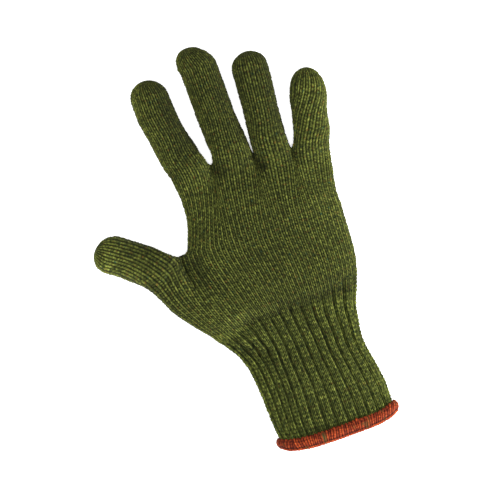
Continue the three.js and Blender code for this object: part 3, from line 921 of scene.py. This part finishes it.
def facing(grid):
    """Which way the cloth faces at each point of a grid that closes around."""
    around = np.roll(grid, -1, axis=1) - np.roll(grid, 1, axis=1)
    along = np.gradient(grid, axis=0)
    normal = np.cross(around, along)
    size = np.linalg.norm(normal, axis=2, keepdims=True)
    return normal / np.maximum(size, 1e-9)


def leg(across, middle, half_width):
    """Round section of one leg of a stitch, from 0 at its sides to 1."""
    return np.maximum(0, 1 - ((across - middle) / half_width) ** 2) ** 0.5


def stitches(wales, courses, ribbing, seed, evenness):
    """Height of the yarn over the cloth, from 0 in the gaps to 1 on a full stitch."""
    place = wales + WALE_WANDER * soft_noise(seed, wales, courses, *WALE_PATCH)
    course = courses + COURSE_WANDER * soft_noise(seed + 1, wales, courses, *COURSE_PATCH)
    across = place - np.floor(place)
    uneven = np.random.default_rng(seed + 2).uniform(-1, 1, (OWN_STITCHES, OWN_STITCHES))
    own = uneven[np.floor(place).astype(int) % OWN_STITCHES, np.floor(course).astype(int) % OWN_STITCHES]
    in_rib = np.mod(place - FIRST_RIB_WALE, RIB_WALES)
    chain, last_leg = ribbing * near(in_rib, *CHAIN), ribbing * near(in_rib, *LAST_LEG)
    evenness = evenness + CHAIN_EVENNESS * chain
    left = leg(across, LEFT_LEG, LEFT_HALF_WIDTH + EVEN_WIDTH * evenness)
    dash = dashes(course + LEFT_LEAN * (across - LEFT_LEG), DASH_POWER)
    low, high = LEFT_LOW + EVEN_LOW * evenness, LEFT_DASH + EVEN_DASH * evenness
    left = left * (low + high * dash) * (1 + LEFT_OWN * own)
    right = leg(across, RIGHT_LEG, RIGHT_HALF_WIDTH) * (1 - LAST_LEG_LOSS * last_leg)
    phase = course + RIGHT_LEAN * (across - RIGHT_LEG) + 0.5 + RIB_SHIFT * ribbing
    dip = RIGHT_DIP + CHAIN_DIP * chain + LAST_LEG_DIP * last_leg
    right = right * (1 - dip + dip * dashes(phase, DASH_POWER)) * (1 + RIGHT_OWN * own)
    yarn = np.maximum(left * (1 - CHAIN_LOSS * chain * (1 - dash)), right * (1 - CHAIN_LOSS * chain))
    purl, valley = ribbing * near(in_rib, *PURL), ribbing * near(in_rib, *VALLEY)
    return yarn * (1 - PURL_LOSS * purl) * (1 - VALLEY_LOSS * valley)


def knit(places, courses, grid, gate, seed, ribbing=0.0, evenness=0.0):
    """Raises the stitches on a grid, and gives it with the heights of the yarn and its facing."""
    normal = facing(grid)
    wales, rows = np.meshgrid(places, courses)
    yarn = stitches(wales, rows, ribbing, seed, evenness)
    groove = near(np.mod(wales - FIRST_RIB_WALE, RIB_WALES), *GROOVE)
    deeper = LEAST_DEPTH + WRIST_DEPTH * near(grid[..., 1], *WRIST_FOLD)
    raised = SWELL * soft_noise(seed + 5, wales, rows, *SWELL_PATCH)
    raised = raised + (yarn - YARN_LEVEL) * YARN_RELIEF - ribbing * groove * RIB_DEPTH * deeper
    return grid + normal * (raised * gate)[..., None], yarn, normal


def joined_to(grid, places, wales, parent, shared):
    """Moves a piece's first courses so that they start exactly on the piece that they grow from."""
    ring, ring_places, ring_wales = parent
    ring = np.append(ring, ring[:1], axis=0)
    ring_places = np.append(ring_places, ring_places[0] + ring_wales)
    moves = np.full((len(places), 3), np.nan)
    for first, last, shift in shared:
        inside = between(places, first, last)
        at = places[inside] + shift
        at = np.where(at > ring_places[-1], at - ring_wales, at)
        target = np.stack([np.interp(at, ring_places, ring[:, k]) for k in range(3)], axis=1)
        moves[inside] = target - grid[0][inside]
    known = ~np.isnan(moves[:, 0])
    around = np.concatenate([places[known] - wales, places[known], places[known] + wales])
    for k in range(3):
        values = np.tile(moves[known, k], 3)
        moves[~known, k] = np.interp(places[~known], around, values)
    fade = 1 - smooth(np.arange(len(grid)) / STEPS_ALONG, 0, SNAP_COURSES)
    return grid + fade[:, None, None] * moves


def fill(target, key, values, kind=np.float32):
    target.foreach_set(key, np.ascontiguousarray(values, kind).ravel())


def mesh_object(name, points, faces, maps, numbers, material):
    """A smooth mesh from arrays; faces is a list of blocks of faces with the same number of corners."""
    mesh = bpy.data.meshes.new(name)
    corners = np.concatenate([block.ravel() for block in faces])
    counts = np.concatenate([np.full(len(block), block.shape[1]) for block in faces])
    mesh.vertices.add(len(points))
    fill(mesh.vertices, "co", points)
    mesh.loops.add(len(corners))
    fill(mesh.loops, "vertex_index", corners, np.int32)
    mesh.polygons.add(len(counts))
    fill(mesh.polygons, "loop_start", sums(counts)[:-1], np.int32)
    fill(mesh.polygons, "loop_total", counts, np.int32)
    mesh.update(calc_edges=True)
    for map_name, values in maps.items():
        fill(mesh.uv_layers.new(name=map_name).data, "uv", values)
    for number_name, values in numbers.items():
        fill(mesh.attributes.new(number_name, "FLOAT", "POINT").data, "value", values)
    fill(mesh.polygons, "use_smooth", np.ones(len(counts)), bool)
    mesh.validate()
    mesh.materials.append(material)
    piece = bpy.data.objects.new(name, mesh)
    bpy.context.scene.collection.objects.link(piece)
    return piece


def grid_faces(rows, columns, corners, start=0, closed=False):
    """Faces of a grid that closes around, and also along where asked."""
    row = np.arange(rows if closed else rows - 1)[:, None]
    column = np.arange(columns)[None, :]
    made = [(row + on) % rows * columns + (column + beside) % columns for beside, on in corners]
    return start + np.stack(made, axis=-1).reshape(-1, 4)


def corner_map(around, along, corners):
    """Map places at the corners of each face of a grid, from its values around and along."""
    column, row = np.arange(len(around) - 1), np.arange(len(along) - 1)
    made = np.zeros((len(row), len(column), 4, 2))
    for corner, (beside, on) in enumerate(corners):
        made[:, :, corner, 0] = around[column + beside]
        made[:, :, corner, 1] = along[row + on][:, None]
    return made.reshape(-1, 2)


def cloth_piece(name, places, wales, courses, outside, inside, yarn, tone, material, closed_tip):
    """Outer stitches, a plainer inner face, and strips that join the two at the open ends."""
    columns, rows = len(places), len(courses)
    inner_columns = np.flatnonzero(np.abs(places * 2 - np.round(places * 2)) < 1e-6)
    inner_rows = np.arange(0, rows, STEPS_ALONG)
    wide, tall = len(inner_columns), len(inner_rows)
    inner = np.ix_(inner_rows, inner_columns)
    ends = np.append(inner_columns, columns)
    base = rows * columns
    place = np.append(places, places[0] + wales)
    u = (place - places[0]) / wales
    v = OUTER_MAP[0] + OUTER_MAP[1] * courses / courses[-1]
    inner_v = INNER_MAP * courses[inner_rows] / courses[-1]
    faces = [grid_faces(rows, columns, CORNERS), grid_faces(tall, wide, CORNERS_INSIDE, base)]
    maps = [corner_map(u, v, CORNERS), corner_map(u[ends], inner_v, CORNERS_INSIDE)]
    knits = [corner_map(place, courses, CORNERS),
             corner_map(place[ends], courses[inner_rows], CORNERS_INSIDE)]
    points = [outside.reshape(-1, 3), inside[inner].reshape(-1, 3)]
    heights = [yarn.reshape(-1), np.full(wide * tall, INNER_YARN)]
    tones = [tone.reshape(-1), tone[inner].reshape(-1)]

    def rim(outer_row, inner_row, low, order):
        """Strips of polygons from the outer edge to the inner edge."""
        for k in range(wide):
            run = np.arange(ends[k], ends[k + 1] + 1)
            edge = np.append(run, [ends[k + 1], ends[k]])
            inner_edge = base + inner_row * wide + np.array([(k + 1) % wide, k])
            height = np.append(np.full(len(run), low), np.full(2, low + RIM_MAP_HEIGHT))
            faces.append(np.append(outer_row * columns + run % columns, inner_edge)[::order][None])
            maps.append(np.stack([u[edge], height], axis=1)[::order])
            course = np.full(len(edge), courses[outer_row])
            knits.append(np.stack([place[edge], course], axis=1)[::order])

    def tip(ring_start, ring, us, height, order):
        """A fan of triangles over the last ring."""
        count, apex = len(us) - 1, sum(map(len, points))
        at = np.arange(count)
        fan = np.stack([ring_start + at, ring_start + (at + 1) % count, np.full(count, apex)], axis=1)
        flat_u = np.stack([us[:-1], us[1:], (us[:-1] + us[1:]) / 2], axis=1)
        flat_v = np.broadcast_to([height, height, height + TIP_MAP_HEIGHT], flat_u.shape)
        points.append(ring.mean(axis=0)[None])
        heights.append(np.array([TIP_YARN]))
        tones.append(tone[-1, :1])
        faces.append(fan[:, order])
        maps.append(np.stack([flat_u, flat_v], axis=2)[:, order].reshape(-1, 2))
        knits.append(np.broadcast_to([places[0], courses[-1]], (3 * count, 2)))

    rim(0, 0, RIM_MAPS[0], -1)
    if closed_tip:
        tip((rows - 1) * columns, outside[-1], u, v[-1], [0, 1, 2])
        tip(base + (tall - 1) * wide, inside[-1], u[ends], inner_v[-1], [0, 2, 1])
    else:
        rim(rows - 1, tall - 1, RIM_MAPS[1], 1)
    points = np.concatenate(points)
    points[:, 2] = np.maximum(points[:, 2], 0)
    return mesh_object(
        name, (points + origin) * MM, faces,
        {"OFBake": np.concatenate(maps), "Stitches": np.concatenate(knits)},
        {"yarn_height": np.concatenate(heights), "tone": np.concatenate(tones)},
        material,
    )


def fold_in(base):
    """Presses the folds into the upper side."""
    base[..., 2] -= fold_depth(base) * smooth(base[..., 2], *FOLD_HEIGHTS)


def build_trunk(cuff_material, palm_material):
    """The cuff and the gusset above it are one run of stitches, parted at the cuff's last course."""
    places = wale_places(TRUNK_ENDS, TRUNK_WALES)
    courses = np.arange((CUFF_COURSES + GUSSET_COURSES) * STEPS_ALONG + 1) / STEPS_ALONG
    base = trunk_grid(places, courses)
    fold_in(base)
    split = CUFF_COURSES * STEPS_ALONG
    rib_end = np.interp(base[split, :, 0], *zip(*RIB_ENDS))
    ribbing = 1 - smooth(base[..., 1], rib_end + RIB_FADE[0], rib_end + RIB_FADE[1])
    outside, yarn, normal = knit(places, courses, base, np.ones_like(ribbing), 3, ribbing)
    inside = base - normal * (CLOTH + RIB_CLOTH * ribbing)[..., None]
    tone = palm_tone_and_painted_light(base)
    made = []
    for name, part, material in (("cuff_ribs", slice(0, split + 1), cuff_material),
                                 ("palm_gusset", slice(split, None), palm_material)):
        made.append(cloth_piece(name, places, TRUNK_WALES, courses[part], outside[part], inside[part],
                                yarn[part], tone[part], material, False))
    return made, (outside[-1], places, TRUNK_WALES)


def web_gate(places, courses, wales, webs):
    """0 on the lines where two tubes part, so that their cloth starts from one line."""
    wrapped = places % wales
    gate = np.ones((len(courses), len(places)))
    for first, last in webs:
        inside = between(wrapped, first - 1e-6, last + 1e-6)
        gate[:, inside] = smooth(courses, 0, WEB_COURSES)[:, None]
    return gate


def build_palm(material, parent):
    """The palm above the thumb, from the gusset's last ring to the ring of the fingers."""
    places = wale_places(PALM_ENDS, PALM_WALES)
    courses = np.arange(PALM_COURSES * STEPS_ALONG + 1) / STEPS_ALONG
    base = palm_grid(places, courses)
    fold_in(base)
    gate = web_gate(places, courses, PALM_WALES, (PALM_WEB,))
    evenness = KNUCKLE_EVENNESS * smooth(base[..., 1], *EVEN_PALM)
    outside, yarn, normal = knit(places, courses, base, gate, 13, 0.0, evenness)
    outside = joined_to(outside, places, PALM_WALES, parent, ((0, PALM_WEB[0], CROTCH_WALE),))
    piece = cloth_piece("palm_knuckles", places, PALM_WALES, courses, outside, base - normal * CLOTH,
                        yarn, palm_tone_and_painted_light(base), material, False)
    return piece, (outside[-1], places, PALM_WALES)


def build_digit(name, material, parent, seed):
    """A finger or the thumb, from its parent's ring to its tip."""
    digit = DIGITS[name]
    wales = digit["wales"]
    places = wale_places(digit["ends"], wales)
    shaft = digit_courses(name)[1]
    count = shaft + TIP_COURSES
    courses = np.arange(count * STEPS_ALONG) / STEPS_ALONG
    base = digit_grid(name, places, courses)
    gate = web_gate(places, courses, wales, digit["webs"])
    gate = gate * (1 - smooth(courses, count + TIP_GATE[0], count + TIP_GATE[1]))[:, None]
    first = 0 if name == "thumb" else KNUCKLE_EVENNESS
    evenness = first + (digit["evenness"] - first) * smooth(courses, 0, EVEN_COURSES)[:, None]
    outside, yarn, normal = knit(places, courses, base, gate, seed, 0.0, evenness)
    outside = joined_to(outside, places, wales, parent, digit["shared"])
    # Painted light and shade: the digit, its tip and its sides lighter or darker by how light falls, and
    # painted shade in the folds
    away = smooth(courses, 0, TONE_COURSES)
    at_tip = smooth(courses, shaft + TIP_TONE_COURSES[0], shaft + TIP_TONE_COURSES[1])
    tone = 1 + (digit["tone"] - 1) * away + digit["tip_painted_light"] * at_tip
    left, right = digit["upper_ends"]
    to_right = np.clip((mirrored(places, digit["ends"], wales) - left) / (right - left), 0, 1)
    across = np.interp(to_right, (0, 0.5, 1), digit["painted_side_light"])
    tone = tone[:, None] * (1 + (across - 1) * away[:, None]) * (1 - FOLD_SHADE * fold_depth(base))
    return cloth_piece(name + "_knit", places, wales, courses, outside, base - normal * CLOTH,
                       yarn, tone, material, True)


def node(tree, kind, links=(), **values):
    """Adds a shader node, sets its values and links its inputs."""
    made = tree.nodes.new(kind)
    for key, value in values.items():
        setattr(made, key, value)
    for socket, source in links:
        connect(tree, source, made.inputs[socket])
    return made


def connect(tree, source, socket):
    """Links a socket to another node's output, or sets it to a value."""
    if hasattr(source, "is_output"):
        tree.links.new(source, socket)
    else:
        socket.default_value = source


def new_material(name, **values):
    material = bpy.data.materials.new(name)
    material.use_nodes = True
    shader = material.node_tree.nodes["Principled BSDF"]
    for key, value in values.items():
        shader.inputs[key.replace("_", " ")].default_value = value
    return material, material.node_tree, shader


def ramp(tree, source, stops):
    made = node(tree, "ShaderNodeValToRGB", [("Fac", source)])
    elements = made.color_ramp.elements
    while len(elements) < len(stops):
        elements.new(0.5)
    for element, (position, colour) in zip(elements, stops):
        element.position = position
        element.color = (*colour, 1)
    return made.outputs["Color"]


def mix(tree, kind, factor, first, second):
    made = node(tree, "ShaderNodeMix", [(0, factor), (6, first), (7, second)],
                data_type="RGBA", blend_type=kind)
    return made.outputs[2]


def noise(tree, place, scale, detail, roughness=0.5):
    return node(tree, "ShaderNodeTexNoise", [("Vector", place), ("Scale", scale), ("Detail", detail),
                                             ("Roughness", roughness)]).outputs["Fac"]


def scaled(tree, place, scale, location=(0, 0, 0)):
    return node(tree, "ShaderNodeMapping", [("Vector", place), ("Location", location),
                                            ("Scale", scale)]).outputs["Vector"]


def value_of(tree, name):
    """Output of a value that the mesh has at each point."""
    return node(tree, "ShaderNodeAttribute", attribute_name=name).outputs["Fac"]


def fibres(tree, shader, place, scale, detail, strength, depth):
    """Fine fibres as bump."""
    bump = node(tree, "ShaderNodeBump", [("Height", noise(tree, place, scale, detail)),
                                         ("Strength", strength), ("Distance", depth)])
    tree.links.new(bump.outputs["Normal"], shader.inputs["Normal"])


def wool(name, deep, middle, bright, fibre_scale, detail):
    """Heathered wool: several dyed fibres spun together, with painted shade between the stitches and a
    painted highlight on the yarn's tops.
    """
    material, tree, shader = new_material(
        name, Roughness=0.95, Specular_IOR_Level=0.1, Sheen_Weight=0.03, Sheen_Roughness=0.6,
        Sheen_Tint=SHEEN_TINT)
    stitch = node(tree, "ShaderNodeUVMap", uv_map="Stitches").outputs["UV"]
    place = node(tree, "ShaderNodeTexCoord").outputs["Object"]
    shade = noise(tree, scaled(tree, stitch, fibre_scale), 1.0, detail, 0.62)
    colour = ramp(tree, shade, [(0.32, deep), (0.50, middle), (0.73, bright)])
    fleck = noise(tree, scaled(tree, stitch, (1.5, 0.8, 1.0), (7.3, 2.1, 0)), 1.0, 2.0)
    is_brown = ramp(tree, fleck, [(0.60, BLACK), (0.80, WHITE)])
    colour = mix(tree, "MIX", is_brown, colour, BROWN_FLECK)
    is_teal = ramp(tree, fleck, [(0.27, WHITE), (0.36, BLACK)])
    colour = mix(tree, "MIX", is_teal, colour, TEAL_FLECK)
    # Painted shade and highlight: by the yarn's height, darker in the gaps between stitches and lighter
    # on the yarn's tops
    gap_shade = ramp(tree, value_of(tree, "yarn_height"),
               [(0.0, (0.08, 0.08, 0.07)), (0.45, (0.38, 0.39, 0.36)), (0.95, (1.35, 1.35, 1.3))])
    colour = mix(tree, "MULTIPLY", 1.0, colour, gap_shade)
    # The tone carries painted light and shade: lighter sides, darker folds, and each digit lit or
    # shaded; random patches vary it
    patch = node(tree, "ShaderNodeMapRange",
                 [("Value", noise(tree, place, 60.0, 2.0)), ("To Min", 0.82), ("To Max", 1.18)])
    tone = node(tree, "ShaderNodeMath", [(0, value_of(tree, "tone")), (1, patch.outputs["Result"])],
                operation="MULTIPLY").outputs[0]
    grey = node(tree, "ShaderNodeCombineColor", [(0, tone), (1, tone), (2, tone)]).outputs["Color"]
    connect(tree, mix(tree, "MULTIPLY", 1.0, colour, grey), shader.inputs["Base Color"])
    fibres(tree, shader, place, 1800.0, 3.0, 0.5, 0.0003)
    return material


def thread(name):
    """Rust-coloured overlock thread, with a little of the wool showing through, and painted shade and
    highlight by the yarn's height.
    """
    material, tree, shader = new_material(name, Roughness=0.8, Specular_IOR_Level=0.12)
    wraps = node(tree, "ShaderNodeUVMap", uv_map="Stitches").outputs["UV"]
    place = node(tree, "ShaderNodeTexCoord").outputs["Object"]
    shade = noise(tree, scaled(tree, wraps, (0.9, 3.0, 1.0)), 1.0, 3.0, 0.6)
    colour = ramp(tree, shade,
                  [(0.34, (0.080, 0.008, 0.003)), (0.50, (0.160, 0.021, 0.0042)),
                   (0.66, (0.31, 0.058, 0.012))])
    # Painted shade and highlight: darker in the gaps between wraps and in the sunk lines, lighter on the
    # yarn's tops and the lower chain
    gap_shade = ramp(tree, value_of(tree, "yarn_height"),
               [(0.0, (0.05, 0.03, 0.03)), (0.5, (0.42, 0.33, 0.30)), (0.95, (1.25, 1.25, 1.2))])
    colour = mix(tree, "MULTIPLY", 1.0, colour, gap_shade)
    colour = mix(tree, "MIX", value_of(tree, "tone"), colour, OLIVE_WOOL)
    connect(tree, colour, shader.inputs["Base Color"])
    fibres(tree, shader, place, 2500.0, 2.0, 0.4, 0.0002)
    return material


def hem_line():
    """Points around the hem, the way out of the cuff at each, and the length around."""
    y, _, _, top, bottom = CUFF_ROWS[0]
    shares = even_shares(np.arange(HEM_POINTS), (0, HEM_POINTS / 2), HEM_POINTS)
    fine = section_ring(*shares, hem_middle, y, hem_half_width, ALONG_GLOVE, top, bottom)
    fine = np.concatenate([fine, fine[:1]])
    hem = along_length(fine, np.arange(EDGE_COLUMNS) / EDGE_COLUMNS)
    way = np.roll(hem, -1, axis=0) - np.roll(hem, 1, axis=0)
    way = way / np.linalg.norm(way, axis=1, keepdims=True)
    outward = np.stack([-way[:, 2], np.zeros(EDGE_COLUMNS), way[:, 0]], axis=1)
    return hem, outward, np.linalg.norm(np.diff(fine, axis=0), axis=1).sum()


def build_edge(material):
    """The overlock: thread wrapped round the hem over a rolled core, with a chain on each side."""
    hem, outward, perimeter = hem_line()
    wraps, loops = round(perimeter / WRAP_PITCH), round(perimeter / LOOP_PITCH)
    around, across = np.meshgrid(np.arange(EDGE_COLUMNS) / EDGE_COLUMNS,
                                 np.arange(EDGE_ROWS) / EDGE_ROWS, indexing="ij")
    x = hem[:, :1]
    untidy = smooth(x, *UNTIDY_X) * np.ones_like(across)
    phase = around * wraps + (WRAP_LEAN + UNTIDY_LEAN * untidy) * across
    wander = soft_noise(41, around * wraps, across * 6, 2.4, 2.0)
    phase = phase + (WRAP_WANDER + UNTIDY_WANDER * untidy) * wander
    uneven = np.random.default_rng(5).uniform(0.5, 1.0, OWN_WRAPS)
    own = uneven[np.floor(phase).astype(int) % OWN_WRAPS]
    strand = dashes(phase, WRAP_POWER) * (WRAP_LOW + WRAP_OWN * own)
    wander = soft_noise(49, around * loops, across, 2.0, 1.0)
    loop = dashes(around * loops + LOOP_WANDER * wander, LOOP_POWER)
    upper = near(across, 0, CHAIN_WIDTH) + near(across, 1, CHAIN_WIDTH)
    lower = near(across, LOWER_CHAIN, CHAIN_WIDTH)
    sunk = near(across, UPPER_LINE, LINE_WIDTH)
    sunk = near(across, LOWER_LINE, LINE_WIDTH) + UPPER_LINE_DEPTH * sunk
    twist = dashes(around * wraps * TWIST_SHARE - across * TWIST_LEAN, TWIST_POWER)
    swell = soft_noise(43, around * wraps, across * THREADS_AROUND, 9, 4)
    lift = WRAP_RELIEF * strand - WRAP_LEVEL + ROLL_SWELL * swell
    lift = lift * (1 - upper * UPPER_LOSS) * (1 - lower * LOWER_LOSS)
    lift = lift + upper * (LOOP_RELIEF * loop - LOOP_LEVEL)
    lift = lift + lower * (TWIST_RELIEF * twist - TWIST_LEVEL) - LINE_RELIEF * sunk
    on_top = (hem[:, 2] > WIDEST_HEIGHT * CUFF_ROWS[0][3])[:, None]
    peak = near(x, *PEAK) * on_top
    loop = loop * (LOOP_LOW + LOOP_OWN * soft_noise(51, around * loops, across * 0, 1.4, 1.0))
    curve = spline(EDGE_PROFILE + EDGE_PROFILE[:1], np.linspace(0, len(EDGE_PROFILE), CURVE_POINTS))
    profile = along_length(curve, np.arange(EDGE_ROWS) / EDGE_ROWS)
    away = profile - profile.mean(axis=0)
    away = away / np.linalg.norm(away, axis=1, keepdims=True)
    out = profile[:, 0] + away[:, 0] * lift
    along = profile[:, 1] + away[:, 1] * lift + upper * (SCALLOP * loop + peak)
    grid = hem[:, None] + outward[:, None] * out[..., None]
    end_lift = np.where(grid[..., 0] < hem_middle, *END_LIFTS) * hem_ends(grid[..., 0], 14)
    grid[..., 1] = (HEM_RISE * hem_ends(grid[..., 0], 4) + np.maximum(along, LOWEST_EDGE)
                    + end_lift * np.clip(1 - along / EDGE_PROFILE[-1][1], 0, 1))
    grid[..., 2] = np.maximum(grid[..., 2], 0)
    # Painted shade and highlight for the thread's colour: darker at the upper chain and in the sunk
    # lines, a bright line along the lower chain
    yarn = strand * (1 - upper) * (1 - lower)
    yarn = yarn + upper * (LOOP_YARN[0] + LOOP_YARN[1] * loop)
    yarn = yarn + lower * (TWIST_YARN[0] + TWIST_YARN[1] * twist)
    yarn = np.clip(yarn - LINE_YARN * sunk, 0, 1)
    wool_shows = OLIVE * near(grid[..., 0], *OLIVE_X) * near(grid[..., 1], *OLIVE_Y)
    flecks = soft_noise(47, around * wraps, across * THREADS_AROUND, 1.6, 1.2)
    wool_shows = np.clip(wool_shows + OLIVE_FLECK * smooth(flecks, *FLECK_NOISE), 0, 1)
    flat = corner_map(np.arange(EDGE_ROWS + 1) / EDGE_ROWS, np.arange(EDGE_COLUMNS + 1) / EDGE_COLUMNS,
                      CORNERS)[:, ::-1]
    return mesh_object(
        "overlock_edge", (grid.reshape(-1, 3) + origin) * MM,
        [grid_faces(EDGE_COLUMNS, EDGE_ROWS, CORNERS, closed=True)],
        {"OFBake": flat, "Stitches": flat * (wraps, THREADS_AROUND)},
        {"yarn_height": yarn, "tone": wool_shows},
        material,
    )


knit_wool = wool("wool_knit", (0.010, 0.014, 0.0025), (0.044, 0.052, 0.009), (0.124, 0.137, 0.027),
                 (2.6, 1.1, 1.0), 3.0)
rib_wool = wool("wool_rib", (0.018, 0.024, 0.005), (0.074, 0.090, 0.016), (0.185, 0.200, 0.041),
                (2.0, 0.9, 1.0), 2.0)
edge_thread = thread("overlock_thread")

(cuff_ribs, palm_gusset), trunk_ring = build_trunk(rib_wool, knit_wool)
palm_knuckles, palm_ring = build_palm(knit_wool, trunk_ring)
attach(cuff_ribs, "root")
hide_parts("cuff")
for piece in (palm_gusset, palm_knuckles):
    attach(piece, "root")
    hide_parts("palm")
for seed, name in enumerate(DIGITS):
    parent = trunk_ring if name == "thumb" else palm_ring
    piece = build_digit(name, knit_wool, parent, 20 + 11 * seed)
    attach(piece, "root")
    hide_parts(name)
overlock_edge = build_edge(edge_thread)
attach(overlock_edge, "root")
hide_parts("cuff_edge")

# Studio: a pale floor, a bright room and soft lamps
floor_mesh = bpy.data.meshes.new("floor")
floor_corners = [(-FLOOR_REACH, -FLOOR_REACH, 0), (FLOOR_REACH, -FLOOR_REACH, 0),
                 (FLOOR_REACH, FLOOR_REACH, 0), (-FLOOR_REACH, FLOOR_REACH, 0)]
floor_mesh.from_pydata(floor_corners, [], [(0, 1, 2, 3)])
floor = bpy.data.objects.new("floor", floor_mesh)
floor.location.z = -FLOOR_DROP
bpy.context.scene.collection.objects.link(floor)
floor_material, floor_tree, floor_shader = new_material(
    "floor_paper", Roughness=0.9, Emission_Color=(1, 1, 1, 1), Emission_Strength=FLOOR_GLOW)
grain = node(floor_tree, "ShaderNodeTexNoise", [("Scale", 40.0)])
paper = ramp(floor_tree, grain.outputs["Fac"], [(0.3, (0.96, 0.96, 0.96)), (0.7, (0.98, 0.98, 0.98))])
connect(floor_tree, paper, floor_shader.inputs["Base Color"])
floor_mesh.materials.append(floor_material)

world = bpy.data.worlds.new("studio")
world.use_nodes = True
world.node_tree.nodes["Background"].inputs["Color"].default_value = (1, 1, 1, 1)
world.node_tree.nodes["Background"].inputs["Strength"].default_value = ROOM_LIGHT
bpy.context.scene.world = world

turn = np.radians(TURN)
photo_right = Vector((np.cos(turn), -np.sin(turn), 0))
photo_up = Vector((np.sin(turn), np.cos(turn), 0))
centre = Vector(((FRAME_CENTRE[0] + origin[0]) * MM, (FRAME_CENTRE[1] + origin[1]) * MM, VIEW_HEIGHT))

# Lamps are placed by the photograph's own right and up, and aimed at the glove
for name, right, up, height, size, power in LAMPS:
    lamp_data = bpy.data.lights.new(name, "AREA")
    lamp_data.shape = "DISK"
    lamp_data.size = size
    lamp_data.energy = power
    lamp = bpy.data.objects.new(name, lamp_data)
    lamp.location = centre + photo_right * right + photo_up * up + Vector((0, 0, height))
    lamp.rotation_mode = "QUATERNION"
    lamp.rotation_quaternion = (lamp.location - centre).to_track_quat("Z", "Y")
    bpy.context.scene.collection.objects.link(lamp)

camera_data = bpy.data.cameras.new("camera")
camera_data.lens = camera_data.sensor_width * CAMERA_DISTANCE / FRAME_WIDTH
camera_data.clip_start = 0.05
camera_data.clip_end = 20
camera = bpy.data.objects.new("camera", camera_data)
camera.matrix_world = Matrix((
    (photo_right.x, photo_up.x, 0, centre.x),
    (photo_right.y, photo_up.y, 0, centre.y),
    (0, 0, 1, centre.z + CAMERA_DISTANCE),
    (0, 0, 0, 1),
))
bpy.context.scene.collection.objects.link(camera)
bpy.context.scene.camera = camera
bpy.context.scene.view_settings.view_transform = "Standard"
